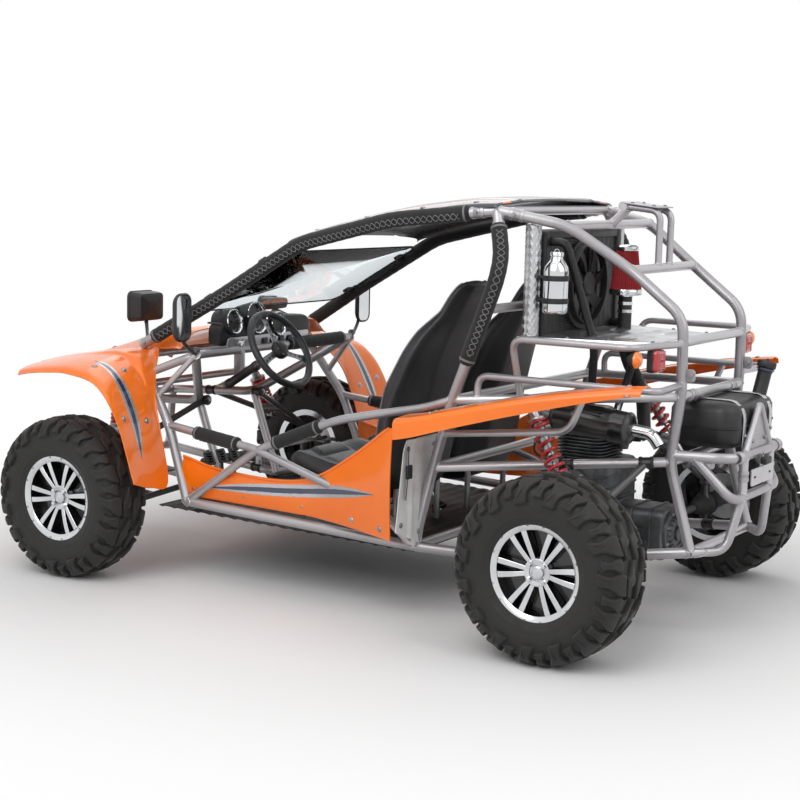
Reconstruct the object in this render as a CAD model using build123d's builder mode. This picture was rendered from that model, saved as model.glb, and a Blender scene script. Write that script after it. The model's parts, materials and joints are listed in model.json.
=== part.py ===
"""Two-seat dune buggy: a welded tube frame on four knobbly tyres.

Millimetres, +Z up. The vehicle faces -Y and its left side is +X. The origin is on the
floor under the middle of the vehicle's length.
"""

from build123d import *
from math import cos, pi, radians, sin
import os

os.makedirs("parts", exist_ok=True)

# Driving sizes of the vehicle
wheelbase = 2070.0
frame_half = 600.0        # half width of the frame at the sills
cage_height = 1480.0      # top of the roll cage over the floor
shift = -20.0             # middle of the wheelbase from the middle of the length

# Tubes, sheets and clearances
main_r = 19.0
cross_r = 17.0            # tubes that end on a main tube
side_r = 16.0
rail_r = 12.5
bend = 90.0
tight = 45.0
sheet = 3.0
gap = 0.3                 # running clearance of pieces that seat on each other
clear = 6.0               # clearance of pieces that move past each other
over = 5.0                # overrun of cuts
foam = 9.0                # wall of the foam sleeves

# Wheels
tyre_r = 317.5            # to the tips of the lugs
lug_depth = 16.0
lug_count = 13
rim_r = 152.4
lip_r = 174.5
lip_depth = 9.0
front_tyre_width = 211.0
rear_tyre_width = 255.0
front_track_half = 845.0
rear_track_half = 775.0
spoke_pairs = 6
hub_r = 48.0
cap_r = 30.0
disc_r = 95.0
disc_thick = 5.0

# Steering
kingpin_x = 735.0
ball_rise = 80.0          # ball joints over and under the wheel axis
knuckle_r = 17.0
steer_arm = 145.0
rod_r = 8.0
rack_r = 20.0
grip_r = 14.0
steer_wheel_r = 175.0

sides = (("left", 1), ("right", -1))


def spot(across, along, up, side=1):
    """Point at shares of the frame's half width, the wheelbase and the cage's height."""
    return Vector(side * across * frame_half, along * wheelbase + shift, up * cage_height)


def flat(along, up):
    """Point of a side view at shares of the wheelbase and the cage's height."""
    return (along * wheelbase + shift, up * cage_height)


def axle_y(front):
    """Place of the front or the rear axle along the vehicle."""
    return (-wheelbase if front else wheelbase) / 2 + shift


# Welded joints of the frame: shares of half width, wheelbase and cage height
joint_shares = {
    "nose_low": (0.317, -0.684, 0.236),
    "nose_high": (0.317, -0.672, 0.412),
    "box_low": (0.317, -0.386, 0.196),
    "box_high": (0.317, -0.449, 0.432),
    "sill_front": (1.050, -0.304, 0.209),
    "sill_rear": (1.000, 0.193, 0.182),
    "rail_mid": (0.750, 0.338, 0.160),
    "rail_rear": (0.467, 0.643, 0.216),
    "upright_mid": (1.017, -0.357, 0.405),
    "upright_dash": (0.997, -0.428, 0.530),
    "upright_top": (0.950, -0.449, 0.581),
    "tower": (0.750, -0.546, 0.473),
    "dash_end": (0.918, -0.317, 0.594),
    "pillar_foot": (0.920, -0.444, 0.612),
    "pillar_low": (0.842, -0.271, 0.755),
    "pillar_mid": (0.842, -0.092, 0.902),
    "pillar_high": (0.883, 0.111, 0.972),
    "hoop_top": (0.750, 0.299, 1.001),
    "hoop_knee": (0.853, 0.326, 0.898),
    "hoop_elbow": (0.917, 0.329, 0.845),
    "hoop_waist": (0.908, 0.308, 0.769),
    "hoop_foot": (0.933, 0.251, 0.547),
    "rear_shoulder": (0.592, 0.411, 0.970),
    "rear_knee": (0.468, 0.515, 0.870),
    "rear_bend": (0.467, 0.612, 0.766),
    "rear_corner": (0.463, 0.614, 0.581),
    "rear_waist": (0.467, 0.599, 0.425),
    "mid_front": (0.960, 0.222, 0.380),
}


def joint(name, side=1):
    """Welded joint by name, on the left (1) or the right (-1), or on the middle (0)."""
    return spot(*joint_shares[name], side=side)


def between(a, b, share):
    """Point at a share of the way from one point to another."""
    return a + (b - a) * share


def at_height(a, b, height):
    """Point of a run that lies at a height."""
    return between(a, b, (height - a.Z) / (b.Z - a.Z))


def at_length(a, b, along):
    """Point of a run that lies at a place along the vehicle."""
    return between(a, b, (along - a.Y) / (b.Y - a.Y))


def softened(points, corner):
    """Points of a run with each corner cut to a short chord, as a bend in two mitres."""
    run = [points[0]]
    for before, here, after in zip(points, points[1:], points[2:]):
        run += [here + (before - here).normalized() * corner, here + (after - here).normalized() * corner]
    return [*run, points[-1]]


def tube(points, radius, corner=tight / 2, bore=0.0):
    """Round tube or bar in straight runs that meet in mitres, bored where it is a sleeve."""
    run = softened(points, corner) if corner > 0 else points
    ways = [(b - a).normalized() for a, b in zip(run, run[1:])]
    pieces = []
    for index, way in enumerate(ways):
        first = index == 0
        last = index == len(ways) - 1
        start = run[index] - way * (0 if first else radius)
        end = run[index + 1] + way * (0 if last else radius)
        with BuildSketch(Plane(origin=start, z_dir=way)) as section:
            Circle(radius)
            if bore > 0:
                Circle(bore, mode=Mode.SUBTRACT)
        piece = extrude(section.sketch, amount=(end - start).length, mode=Mode.PRIVATE)
        if not first:
            mitre = Plane(origin=run[index], z_dir=ways[index - 1] + way)
            piece = split(piece, bisect_by=mitre, keep=Keep.TOP, mode=Mode.PRIVATE)
        if not last:
            mitre = Plane(origin=run[index + 1], z_dir=way + ways[index + 1])
            piece = split(piece, bisect_by=mitre, keep=Keep.BOTTOM, mode=Mode.PRIVATE)
        pieces.append(piece)
    return Compound(children=pieces)


def cross(name, radius):
    """Tube across the vehicle between the left and the right joint of one name."""
    return tube([joint(name), joint(name, -1)], radius)


def seat_on(*carriers):
    """Cut the piece being made to the shape of what it seats on."""
    for carrier in carriers:
        add(carrier.part, mode=Mode.SUBTRACT)


def finish(piece, label):
    """Name the piece and write it out."""
    piece.part.label = label
    export_step(piece.part, f"parts/{label}.step")


def finish_pair(piece, label):
    """Write out a left piece and its mirror image on the right."""
    finish(piece, f"{label}_left")
    with BuildPart() as twin:
        add(mirror(piece.part, about=Plane.YZ, mode=Mode.PRIVATE))
    finish(twin, f"{label}_right")
    return twin


def side_plane(x):
    """Plane across the vehicle at x: its first axis runs to the back, its second up."""
    return Plane(origin=(x, 0, 0), x_dir=(0, 1, 0), z_dir=(1, 0, 0))


def cross_plane(y):
    """Plane along the vehicle at y: its first axis runs to the left, its second up."""
    return Plane(origin=(0, y, 0), x_dir=(1, 0, 0), z_dir=(0, -1, 0))


def ribbon(plane, points, corner, thickness):
    """Edge of a bent sheet, drawn on a plane and thickened to one side."""
    with BuildSketch(plane) as face:
        with BuildLine():
            if len(points) > 2:
                FilletPolyline(*points, radius=corner)
            else:
                Polyline(*points)
            offset(amount=thickness, side=Side.LEFT)
        make_face()
    return face.sketch


# Lower frame: front box rails, sills and floor rails with their crossing tubes
with BuildPart() as frame_lower:
    add([
        tube([joint("nose_low"), joint("box_low"), joint("sill_front")], main_r),
        tube([joint("sill_front"), joint("sill_rear"), joint("rail_mid"), joint("rail_rear")], main_r),
    ])
    mirror(about=Plane.YZ)
    add([cross(name, cross_r) for name in ("nose_low", "sill_rear", "rail_mid", "rail_rear")])
finish(frame_lower, "frame_lower")

# Front frame: upper rails, nose posts, shock tower, uprights and dash bar
with BuildPart() as frame_front:
    tower_foot = between(joint("nose_high"), joint("box_high"), 0.5)
    add([
        tube([joint("nose_high"), joint("box_high"), joint("dash_end")], main_r),
        tube([joint("nose_low"), joint("nose_high")], cross_r),
        tube([joint("box_low"), joint("box_high")], cross_r),
        tube([joint("sill_front"), joint("upright_mid"), joint("upright_top")], main_r),
        tube([joint("tower"), joint("upright_top")], rail_r),
        tube([joint("tower"), tower_foot], rail_r),
    ])
    mirror(about=Plane.YZ)
    dash_run = [joint("upright_dash"), joint("dash_end"), joint("dash_end", -1), joint("upright_dash", -1)]
    add([cross("upright_top", cross_r), cross("tower", side_r), cross("nose_high", cross_r), tube(dash_run, cross_r, tight)])
    seat_on(frame_lower)
finish(frame_front, "frame_front")

# Roll cage: windscreen pillars, main hoop and its crossing tubes
pillar = ("pillar_foot", "pillar_low", "pillar_mid", "pillar_high", "hoop_top")
hoop = ("hoop_top", "hoop_knee", "hoop_elbow", "hoop_waist", "hoop_foot", "mid_front", "sill_rear")
with BuildPart() as roll_cage:
    add([
        tube([joint(name) for name in pillar], main_r),
        tube([joint(name) for name in hoop], main_r),
    ])
    mirror(about=Plane.YZ)
    add([cross(name, cross_r) for name in ("hoop_top", "hoop_waist", "hoop_foot", "mid_front")])
    seat_on(frame_lower, frame_front)
finish(roll_cage, "roll_cage")

# Rear cage: back stays, upper and middle rails and their crossing tubes
stay = ("hoop_top", "rear_shoulder", "rear_knee", "rear_bend", "rear_corner", "rear_waist", "rail_rear")
with BuildPart() as rear_cage:
    add([
        tube([joint(name) for name in stay], main_r),
        tube([joint("hoop_foot"), joint("rear_corner")], cross_r),
        tube([joint("mid_front"), joint("rear_waist")], cross_r),
    ])
    mirror(about=Plane.YZ)
    add([cross(name, cross_r) for name in ("rear_shoulder", "rear_knee", "rear_corner", "rear_waist")])
    seat_on(frame_lower, roll_cage)
finish(rear_cage, "rear_cage")

# Side bars crossing in the door openings, with their foam sleeves
bar_shares = {
    "cross": (1.067, -0.135, 0.374),
    "low": (1.067, 0.133, 0.266),
    "rise": (1.033, 0.033, 0.473),
    "back": (0.950, 0.205, 0.524),
}
bar = {name: spot(*shares) for name, shares in bar_shares.items()}
low_run = [joint("upright_mid"), bar["cross"], bar["low"], joint("sill_rear")]
high_run = [joint("sill_front"), bar["cross"], bar["rise"], bar["back"], joint("hoop_foot")]
with BuildPart() as side_bars:
    add([tube(low_run, side_r), tube(high_run, side_r)])
    mirror(about=Plane.YZ)
    seat_on(frame_lower, frame_front, roll_cage, rear_cage)
finish(side_bars, "side_bars")

with BuildPart() as bar_padding:
    add([
        tube([between(bar["cross"], bar["rise"], 0.2), between(bar["cross"], bar["rise"], 0.8)], side_r + foam,
             bore=side_r + gap),
        tube([between(joint("upright_mid"), bar["cross"], 0.3), between(joint("upright_mid"), bar["cross"], 0.8)],
             side_r + foam, bore=side_r + gap),
    ])
    mirror(about=Plane.YZ)
    dash_bar = [joint("dash_end"), joint("dash_end", -1)]
    add(tube([between(*dash_bar, 0.55), between(*dash_bar, 0.93)], cross_r + foam, bore=cross_r + gap))
    seat_on(side_bars)
finish(bar_padding, "bar_padding")

# Laced foam covers of the windscreen pillars and of the main hoop
with BuildPart() as cage_padding:
    points = [joint(name) for name in pillar]
    points[0] = between(points[0], points[1], 0.12)
    points[-1] = between(points[-2], points[-1], 0.75)
    sleeve_run = [joint(name) for name in hoop[:5]]
    sleeve_run[0] = between(sleeve_run[0], sleeve_run[1], 0.3)
    sleeve_run[-1] = between(sleeve_run[-2], sleeve_run[-1], 0.6)
    add([
        tube(points, main_r + foam, bore=main_r + gap),
        tube(sleeve_run, main_r + foam, bore=main_r + gap),
    ])
    mirror(about=Plane.YZ)
    seat_on(roll_cage)
finish(cage_padding, "cage_padding")

# Rear bumper: two hoops on the rear stays and two posts between them
bumper_half = 230.0
bumper_reach = 420.0      # behind the rear axle
bumper_high = 655.0
bumper_low = 508.0
post_x = 130.0
with BuildPart() as rear_bumper:
    back = axle_y(0) + bumper_reach
    hoops = []
    for height in (bumper_high, bumper_low):
        ends = []
        for _, side in sides:
            top = joint("rear_corner", side) if height > joint("rear_waist").Z else joint("rear_waist", side)
            foot = joint("rear_waist", side) if height > joint("rear_waist").Z else joint("rail_rear", side)
            ends.append(at_height(top, foot, height))
        corners = [Vector(side * bumper_half, back, height) for _, side in sides]
        hoops.append(tube([ends[0], corners[0], corners[1], ends[1]], main_r, tight / 2))
    add(hoops)
    add([tube([Vector(side * post_x, back, bumper_low), Vector(side * post_x, back, bumper_high)], side_r)
         for _, side in sides])
    seat_on(frame_lower, rear_cage)
finish(rear_bumper, "rear_bumper")

# Guard rails over the rear wheels, on the rear stays
guard_x = 555.0
guard_rows = (
    # height over the wheel axis, front end and rear end from the rear axle, place across
    # as shares of the tyre's radius, and of the guard's place across
    (1.84, -1.36, 0.80, 0.94),
    (2.29, -0.90, 0.52, 1.00),
)
with BuildPart() as guard_rails:
    for up_share, front_share, rear_share, across_share in guard_rows:
        x = guard_x * across_share
        z = tyre_r + up_share * tyre_r
        y_front = axle_y(0) + front_share * tyre_r
        y_rear = axle_y(0) + rear_share * tyre_r
        root = at_length(joint("hoop_foot"), joint("rear_corner"), y_front)
        anchor = at_height(joint("rear_bend"), joint("rear_corner"), z)
        add(tube([root, Vector(x, y_front, z), Vector(x, y_rear, z), anchor], rail_r, 2 * rail_r))
    mirror(about=Plane.YZ)
    seat_on(rear_cage, roll_cage)
finish(guard_rails, "guard_rails")

# Tyres: a carcass with three staggered rings of lugs, each made once and placed four times
carcass_r = tyre_r - lug_depth
seat_share = 0.80         # the bead's width over the tyre's
lug_rows = (
    # place across, width across, arc, turn by a share of the pitch
    (-0.36, 0.28, 0.55, 0.0),
    (0.0, 0.30, 0.42, 0.5),
    (0.36, 0.28, 0.55, 0.0),
)
wheel_plane = Plane(origin=(0, 0, 0), x_dir=(0, 1, 0), z_dir=(1, 0, 0))
across_plane = Plane(origin=(0, 0, 0), x_dir=(0, 0, 1), z_dir=(0, 1, 0))


def make_tyre(width):
    """Tyre round the X axis at the origin, its lugs cut from a ring in one go."""
    half = width / 2
    bead = half * seat_share
    pitch = 2 * pi * tyre_r / lug_count
    with BuildPart() as tyre:
        with BuildSketch(across_plane):
            with BuildLine():
                Polyline((rim_r, -bead), (carcass_r - 2.5 * lug_depth, -half), (carcass_r, -bead), (carcass_r, bead),
                         (carcass_r - 2.5 * lug_depth, half), (rim_r, bead), close=True)
            make_face()
        revolve(axis=Axis.X)
        for place_share, width_share, arc_share, turn_share in lug_rows:
            with BuildSketch(wheel_plane.offset(place_share * width - width_share * width / 2)):
                with PolarLocations(0, lug_count, start_angle=turn_share * 360 / lug_count):
                    with Locations((tyre_r - lug_depth, 0)):
                        Rectangle(3 * lug_depth, pitch * arc_share)
                Circle(tyre_r, mode=Mode.INTERSECT)
            extrude(amount=width_share * width)
    return tyre.part


def make_rim(width):
    """Spoked rim round the X axis at the origin, with its hub and brake disc."""
    bead = width / 2 * seat_share
    inner = rim_r - lip_depth
    with BuildPart() as rim:
        with BuildSketch(across_plane):
            with BuildLine():
                Polyline((inner, -bead - lip_depth), (lip_r, -bead - lip_depth), (rim_r - gap, -bead - gap),
                         (rim_r - gap, bead + gap), (lip_r, bead + lip_depth), (inner, bead + lip_depth), close=True)
            make_face()
        revolve(axis=Axis.X)
        face = bead - 2 * lip_depth
        with BuildSketch(wheel_plane.offset(face)):
            Circle(inner + over)
            with PolarLocations((hub_r + inner) / 2, spoke_pairs, start_angle=180 / spoke_pairs):
                Trapezoid(inner - hub_r - lip_depth, hub_r, 70, rotation=90)
            with PolarLocations((hub_r + inner) / 2, spoke_pairs):
                SlotOverall(inner - hub_r - lip_depth, lip_depth)
        extrude(amount=2 * lip_depth)
        with BuildSketch(wheel_plane.offset(face - 3 * lip_depth)):
            Circle(hub_r)
        extrude(amount=3 * lip_depth)
        with BuildSketch(wheel_plane.offset(face)):
            Circle(cap_r)
        extrude(amount=4 * lip_depth)
        with BuildSketch(wheel_plane.offset(face - 3 * lip_depth)):
            Circle(disc_r)
        extrude(amount=disc_thick)
    return rim.part


for axle, front, x, width in (
    ("front", 1, front_track_half, front_tyre_width),
    ("rear", 0, rear_track_half, rear_tyre_width),
):
    place = Location((x, axle_y(front), tyre_r))
    with BuildPart() as tyre:
        add(make_tyre(width).moved(place))
    finish_pair(tyre, f"tyre_{axle}")
    with BuildPart() as rim:
        add(make_rim(width).moved(place))
    finish_pair(rim, f"rim_{axle}")


def hub_back(x, width):
    """Inner face of a wheel's hub, across the vehicle."""
    return x + width / 2 * seat_share - 5 * lip_depth


# Steering knuckles: kingpin, stub axle and steering arm
hub_spot = Vector(kingpin_x, axle_y(1), tyre_r)
eye_spot = hub_spot + Vector(-2 * knuckle_r, steer_arm, 2 * knuckle_r)
eye_half = 1.4 * rod_r
with BuildPart() as knuckle:
    rise = Vector(0, 0, ball_rise)
    foot = hub_spot + Vector(0, 0, 2 * knuckle_r)
    add([
        tube([hub_spot - rise, hub_spot + rise], knuckle_r),
        tube([hub_spot, Vector(hub_back(front_track_half, front_tyre_width) - gap, hub_spot.Y, hub_spot.Z)], knuckle_r),
        tube([foot, eye_spot], rod_r),
        tube([eye_spot - Vector(0, 0, eye_half), eye_spot + Vector(0, 0, eye_half)], 2 * rod_r),
    ])
knuckle_twin = finish_pair(knuckle, "knuckle")

# Front arms: an upper and a lower fork on each side
arm_r = 13.0
arm_spread = 130.0
with BuildPart() as front_arms:
    for level, low, high in ((-1, "nose_low", "box_low"), (1, "nose_high", "box_high")):
        ball = Vector(kingpin_x, axle_y(1), tyre_r + level * (ball_rise + arm_r + gap))
        forks = [at_length(joint(low), joint(high), axle_y(1) + lean * arm_spread) for lean in (-1, 1)]
        add([tube([fork, ball], arm_r) for fork in forks])
    with Locations(hub_spot):
        Cylinder(knuckle_r + clear, 2 * (ball_rise + gap), mode=Mode.SUBTRACT)
    mirror(about=Plane.YZ)
    seat_on(frame_lower, frame_front)
finish(front_arms, "front_arms")

# Rear hub carriers
carrier_x = 600.0
with BuildPart() as rear_knuckles:
    middle = Vector(carrier_x, axle_y(0), tyre_r)
    rise = Vector(0, 0, ball_rise)
    add([
        tube([middle - rise, middle + rise], knuckle_r),
        tube([middle, Vector(hub_back(rear_track_half, rear_tyre_width) - gap, middle.Y, middle.Z)], 2 * knuckle_r),
    ])
    mirror(about=Plane.YZ)
finish(rear_knuckles, "rear_knuckles")

# Rear arms: an upper and a lower fork on each side
with BuildPart() as rear_arms:
    for level, start, end in ((-1, "rail_mid", "rail_rear"), (1, "mid_front", "rear_waist")):
        ball = Vector(carrier_x, axle_y(0), tyre_r + level * (ball_rise + arm_r + gap))
        roots = [at_length(joint(start), joint(end), axle_y(0) + lean * arm_spread) for lean in (-1, 1)]
        add([tube([root, ball], arm_r) for root in roots])
    mirror(about=Plane.YZ)
    seat_on(frame_lower, rear_cage, rear_knuckles)
finish(rear_arms, "rear_arms")

# Floor pan under the cabin's tubes
with BuildPart() as floor_pan:
    front_edge = (joint("box_low").Y, joint("box_low").Z - main_r)
    rear_edge = (joint("sill_rear").Y, joint("sill_rear").Z - main_r)
    extrude(ribbon(side_plane(0), [rear_edge, front_edge], bend, sheet), amount=frame_half, both=True)
    seat_on(frame_lower, frame_front)
finish(floor_pan, "floor_pan")

# Side panels of the tub: a sheet bowed out at the rear, with a scooped top edge
tub_thick = 5.0
tub_plan_shares = ((1.032, -0.300), (1.032, 0.000), (1.290, 0.192))
tub_edge_shares = {
    "low_front": (-0.292, 0.222),
    "low_rear": (0.190, 0.214),
    "high_rear": (0.200, 0.500),
    "dip_rear": (0.014, 0.334),
    "dip_mid": (-0.100, 0.296),
    "high_front": (-0.325, 0.325),
}
edge = {name: flat(*shares) for name, shares in tub_edge_shares.items()}
with BuildPart() as tub:
    with BuildSketch():
        with BuildLine():
            plan = [(across * frame_half, along * wheelbase + shift) for across, along in tub_plan_shares]
            FilletPolyline(*plan, radius=2 * bend)
            offset(amount=tub_thick, side=Side.RIGHT)
        make_face()
    extrude(amount=cage_height)
    with BuildSketch(side_plane(0)):
        with BuildLine():
            Line(edge["low_front"], edge["low_rear"])
            Line(edge["low_rear"], edge["high_rear"])
            Line(edge["high_rear"], edge["dip_rear"])
            ThreePointArc(edge["dip_rear"], edge["dip_mid"], edge["high_front"])
            Line(edge["high_front"], edge["low_front"])
        make_face()
    extrude(amount=2 * frame_half, mode=Mode.INTERSECT)
    seat_on(frame_lower, frame_front, side_bars, roll_cage, bar_padding)
tub_twin = finish_pair(tub, "tub")

# Front fenders: a sheet lofted from the frame's upright to its outer edge
fender_thick = 4.0
fender_inner_x = 655.0
fender_outer_x = 930.0
fender_inner_shares = ((-0.705, 0.545), (-0.452, 0.600), (-0.312, 0.225))
fender_outer_shares = ((-0.540, 0.545), (-0.425, 0.540), (-0.305, 0.292))
with BuildPart() as fender:
    sections = []
    for x, shares in ((fender_inner_x, fender_inner_shares), (fender_outer_x, fender_outer_shares)):
        sections.append(ribbon(side_plane(x), [flat(*share) for share in shares], bend, fender_thick))
    loft(sections, ruled=True)
    seat_on(tub)
fender_twin = finish_pair(fender, "front_fender")

# Hood between the pillars' feet, falling to the nose
hood_rise = 40.0
hood_sections = (
    # along the wheelbase, up the cage, half width
    (-0.705, 0.530, 0.50),
    (-0.460, 0.612, 0.86),
)
with BuildPart() as hood:
    sections = []
    for along_share, up_share, half_share in hood_sections:
        y, z = flat(along_share, up_share)
        half = half_share * frame_half
        with BuildSketch(cross_plane(y)) as section:
            with BuildLine():
                ThreePointArc((-half, z), (0, z + hood_rise), (half, z))
                offset(amount=fender_thick, side=Side.LEFT)
            make_face()
        sections.append(section.sketch)
    loft(sections, ruled=True)
    seat_on(frame_front, roll_cage, fender, fender_twin)
finish(hood, "hood")

# Rear fenders: a tapering sheet with a lip on its outer edge
strip_rise_shares = ((0.196, 0.505), (0.430, 0.584), (0.622, 0.628))
strip_plan_shares = ((0.970, 0.196), (1.290, 0.196), (1.110, 0.622), (0.970, 0.622))
lip_shares = ((0.196, 0.455), (0.430, 0.548), (0.622, 0.612))
with BuildPart() as strip:
    crest = [flat(*shares) for shares in strip_rise_shares]
    extrude(ribbon(side_plane(0), crest, bend, fender_thick), amount=2 * frame_half)
    with BuildSketch():
        Polygon(*[(across * frame_half, along * wheelbase + shift) for across, along in strip_plan_shares], align=None)
    extrude(amount=cage_height, mode=Mode.INTERSECT)
with BuildPart() as strip_lip:
    with BuildSketch():
        with BuildLine():
            Polyline(*[(across * frame_half, along * wheelbase + shift) for across, along in strip_plan_shares[1:3]])
            offset(amount=fender_thick, side=Side.LEFT)
        make_face()
    extrude(amount=cage_height)
    with BuildSketch(side_plane(0)):
        Polygon(*[flat(*shares) for shares in (*strip_rise_shares, *reversed(lip_shares))], align=None)
    extrude(amount=2 * frame_half, mode=Mode.INTERSECT)
with BuildPart() as rear_fender:
    add([strip.part, strip_lip.part])
    seat_on(roll_cage, rear_cage, guard_rails, side_bars, tub)
rear_fender_twin = finish_pair(rear_fender, "rear_fender")

# Splash panels behind the seats, in front of the rear wheels
splash_shares = ((0.780, 0.455), (1.190, 0.455), (1.270, 0.235), (0.980, 0.190))
with BuildPart() as splash_panels:
    with BuildSketch(cross_plane(joint("sill_rear").Y + main_r + fender_thick)):
        Polygon(*[(across * frame_half, up * cage_height) for across, up in splash_shares], align=None)
    extrude(amount=fender_thick)
    mirror(about=Plane.YZ)
    seat_on(frame_lower, roll_cage, rear_cage, side_bars, tub, tub_twin, rear_fender, rear_fender_twin)
finish(splash_panels, "splash_panels")

# Roof panel over the cage
roof_shares = ((-0.130, 0.905), (0.060, 0.985), (0.190, 1.030), (0.310, 1.022))
roof_half = 470.0
with BuildPart() as roof_panel:
    extrude(ribbon(side_plane(0), [flat(*shares) for shares in roof_shares], bend, fender_thick),
            amount=roof_half, both=True)
    seat_on(roll_cage, cage_padding)
finish(roof_panel, "roof_panel")

# Windscreen between the pillars
screen_shares = ((-0.340, 0.705), (-0.135, 0.875))
screen_half = 486.0
with BuildPart() as windscreen:
    extrude(ribbon(side_plane(0), [flat(*shares) for shares in screen_shares], bend, fender_thick),
            amount=screen_half, both=True)
    seat_on(roll_cage, cage_padding)
finish(windscreen, "windscreen")

# Dash pod with the gauges, on the dash bar
pod_width = 620.0
pod_depth = 80.0
pod_height = 130.0
pod_x = 80.0
with BuildPart() as dash_pod:
    base = joint("dash_end")
    with Locations((pod_x, base.Y - pod_depth / 2, base.Z + main_r + pod_height / 2)):
        Box(pod_width, pod_depth, pod_height)
    seat_on(frame_front, windscreen, bar_padding)
finish(dash_pod, "dash_pod")

# Seats: moulded buckets, a side profile cut to a tapering front view and scooped inside
seat_x = 270.0
seat_width = 460.0
seat_side = 55.0
seat_outer_shares = ((-0.105, 0.235), (-0.115, 0.345), (0.050, 0.375), (0.105, 0.500), (0.150, 0.690), (0.205, 0.815),
                     (0.232, 0.812), (0.235, 0.700), (0.165, 0.235))
seat_inner_shares = ((-0.150, 0.300), (-0.150, 0.420), (0.030, 0.440), (0.090, 0.700), (0.150, 0.850), (0.205, 0.850),
                     (0.195, 0.760), (0.105, 0.330), (0.030, 0.290))
seat_front_shares = ((0.50, 0.235), (0.50, 0.640), (0.30, 0.780), (0.22, 0.820))
with BuildPart() as seat:
    with BuildSketch(side_plane(seat_x)):
        Polygon(*[flat(*shares) for shares in seat_outer_shares], align=None)
    extrude(amount=seat_width / 2, both=True)
    with BuildSketch(side_plane(seat_x)):
        Polygon(*[flat(*shares) for shares in seat_inner_shares], align=None)
    extrude(amount=seat_width / 2 - seat_side, both=True, mode=Mode.SUBTRACT)
    with BuildSketch(cross_plane(joint("sill_rear").Y)):
        right = [(seat_x + across * seat_width, up * cage_height) for across, up in seat_front_shares]
        left = [(2 * seat_x - x, z) for x, z in reversed(right)]
        Polygon(*right, *left, align=None)
    extrude(amount=wheelbase, both=True, mode=Mode.INTERSECT)
    seat_on(frame_lower, roll_cage, floor_pan)
seat_twin = finish_pair(seat, "seat")

# Engine block, gearbox and half shafts
engine_width = 360.0
engine_length = 300.0
engine_height = 300.0
gearbox_width = 180.0
gearbox_length = 220.0
gearbox_height = 190.0
shaft_r = 14.0
engine_spot = spot(-0.10, 0.385, 0.37)
with BuildPart() as engine:
    with Locations(engine_spot):
        Box(engine_width, engine_length, engine_height)
    seat_on(frame_lower, roll_cage, rear_cage)
finish(engine, "engine")

with BuildPart() as gearbox:
    with Locations((0, axle_y(0), tyre_r)):
        Box(gearbox_width, gearbox_length, gearbox_height)
    seat_on(frame_lower, rear_cage, engine)
finish(gearbox, "gearbox")

with BuildPart() as half_shafts:
    add(tube([Vector(gearbox_width / 2 + gap, axle_y(0), tyre_r),
              Vector(carrier_x - knuckle_r - gap, axle_y(0), tyre_r)], shaft_r))
    mirror(about=Plane.YZ)
    seat_on(rear_knuckles)
finish(half_shafts, "half_shafts")

# Fuel tank, radiator, deck and muffler behind the seats
tank_width = 480.0
tank_length = 190.0
tank_height = 250.0
with BuildPart() as fuel_tank:
    with Locations(spot(0.0, 0.612, 0.455)):
        Box(tank_width, tank_length, tank_height)
    seat_on(rear_cage, rear_bumper, frame_lower)
finish(fuel_tank, "fuel_tank")

core_width = 640.0
core_depth = 70.0
core_height = 400.0
with BuildPart() as radiator:
    with Locations(spot(0.0, 0.345, 0.82)):
        Box(core_width, core_depth, core_height)
    seat_on(roll_cage, rear_cage)
finish(radiator, "radiator")

deck_shares = ((0.700, 0.375), (0.450, 0.560))
with BuildPart() as rear_deck:
    with BuildSketch(Plane.XY.offset(0.70 * cage_height)):
        (wide, near), (narrow, far) = [(across * frame_half, along * wheelbase + shift) for across, along in deck_shares]
        Polygon((-wide, near), (wide, near), (narrow, far), (-narrow, far), align=None)
    extrude(amount=sheet)
    seat_on(rear_cage, roll_cage, radiator)
finish(rear_deck, "rear_deck")

muffler_r = 60.0
with BuildPart() as muffler:
    add(tube([spot(0.58, 0.40, 0.52), spot(0.58, 0.54, 0.50)], muffler_r))
    seat_on(rear_cage, engine, fuel_tank)
finish(muffler, "muffler")

# Lamps and mirrors
lamp_width = 150.0
lamp_depth = 70.0
lamp_height = 120.0
with BuildPart() as headlamps:
    with Locations(spot(0.723, -0.489, 0.705)):
        Box(lamp_width, lamp_depth, lamp_height)
    mirror(about=Plane.YZ)
    seat_on(roll_cage, hood)
finish(headlamps, "headlamps")

tail_width = 80.0
with BuildPart() as tail_lamps:
    with Locations(spot(0.70, 0.597, 0.676)):
        Box(tail_width, tail_width / 2, tail_width)
    mirror(about=Plane.YZ)
    seat_on(rear_cage, guard_rails)
finish(tail_lamps, "tail_lamps")

mirror_width = 90.0
mirror_height = 150.0
mirror_depth = 30.0
with BuildPart() as mirrors:
    with Locations(spot(1.07, -0.317, 0.700)):
        Box(mirror_width, mirror_depth, mirror_height)
    mirror(about=Plane.YZ)
    seat_on(roll_cage, cage_padding)
finish(mirrors, "mirrors")

# Shock absorbers with their springs
damper_r = 13.0
spring_r = 30.0
front_shock_shares = ((0.750, -0.546, 0.473), (0.950, -0.520, 0.225))
rear_shock_shares = ((0.717, 0.338, 0.497), (0.950, 0.449, 0.297))
shocks = [[spot(*share) for share in pair] for pair in (front_shock_shares, rear_shock_shares)]
with BuildPart() as dampers:
    add([tube(shock, damper_r) for shock in shocks])
    mirror(about=Plane.YZ)
    seat_on(frame_front, rear_cage, front_arms, rear_arms)
finish(dampers, "dampers")

with BuildPart() as coil_springs:
    add([tube([between(*shock, 0.2), between(*shock, 0.7)], spring_r, bore=damper_r + gap) for shock in shocks])
    mirror(about=Plane.YZ)
    seat_on(frame_front, rear_cage, front_arms, rear_arms)
finish(coil_springs, "coil_springs")

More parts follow.
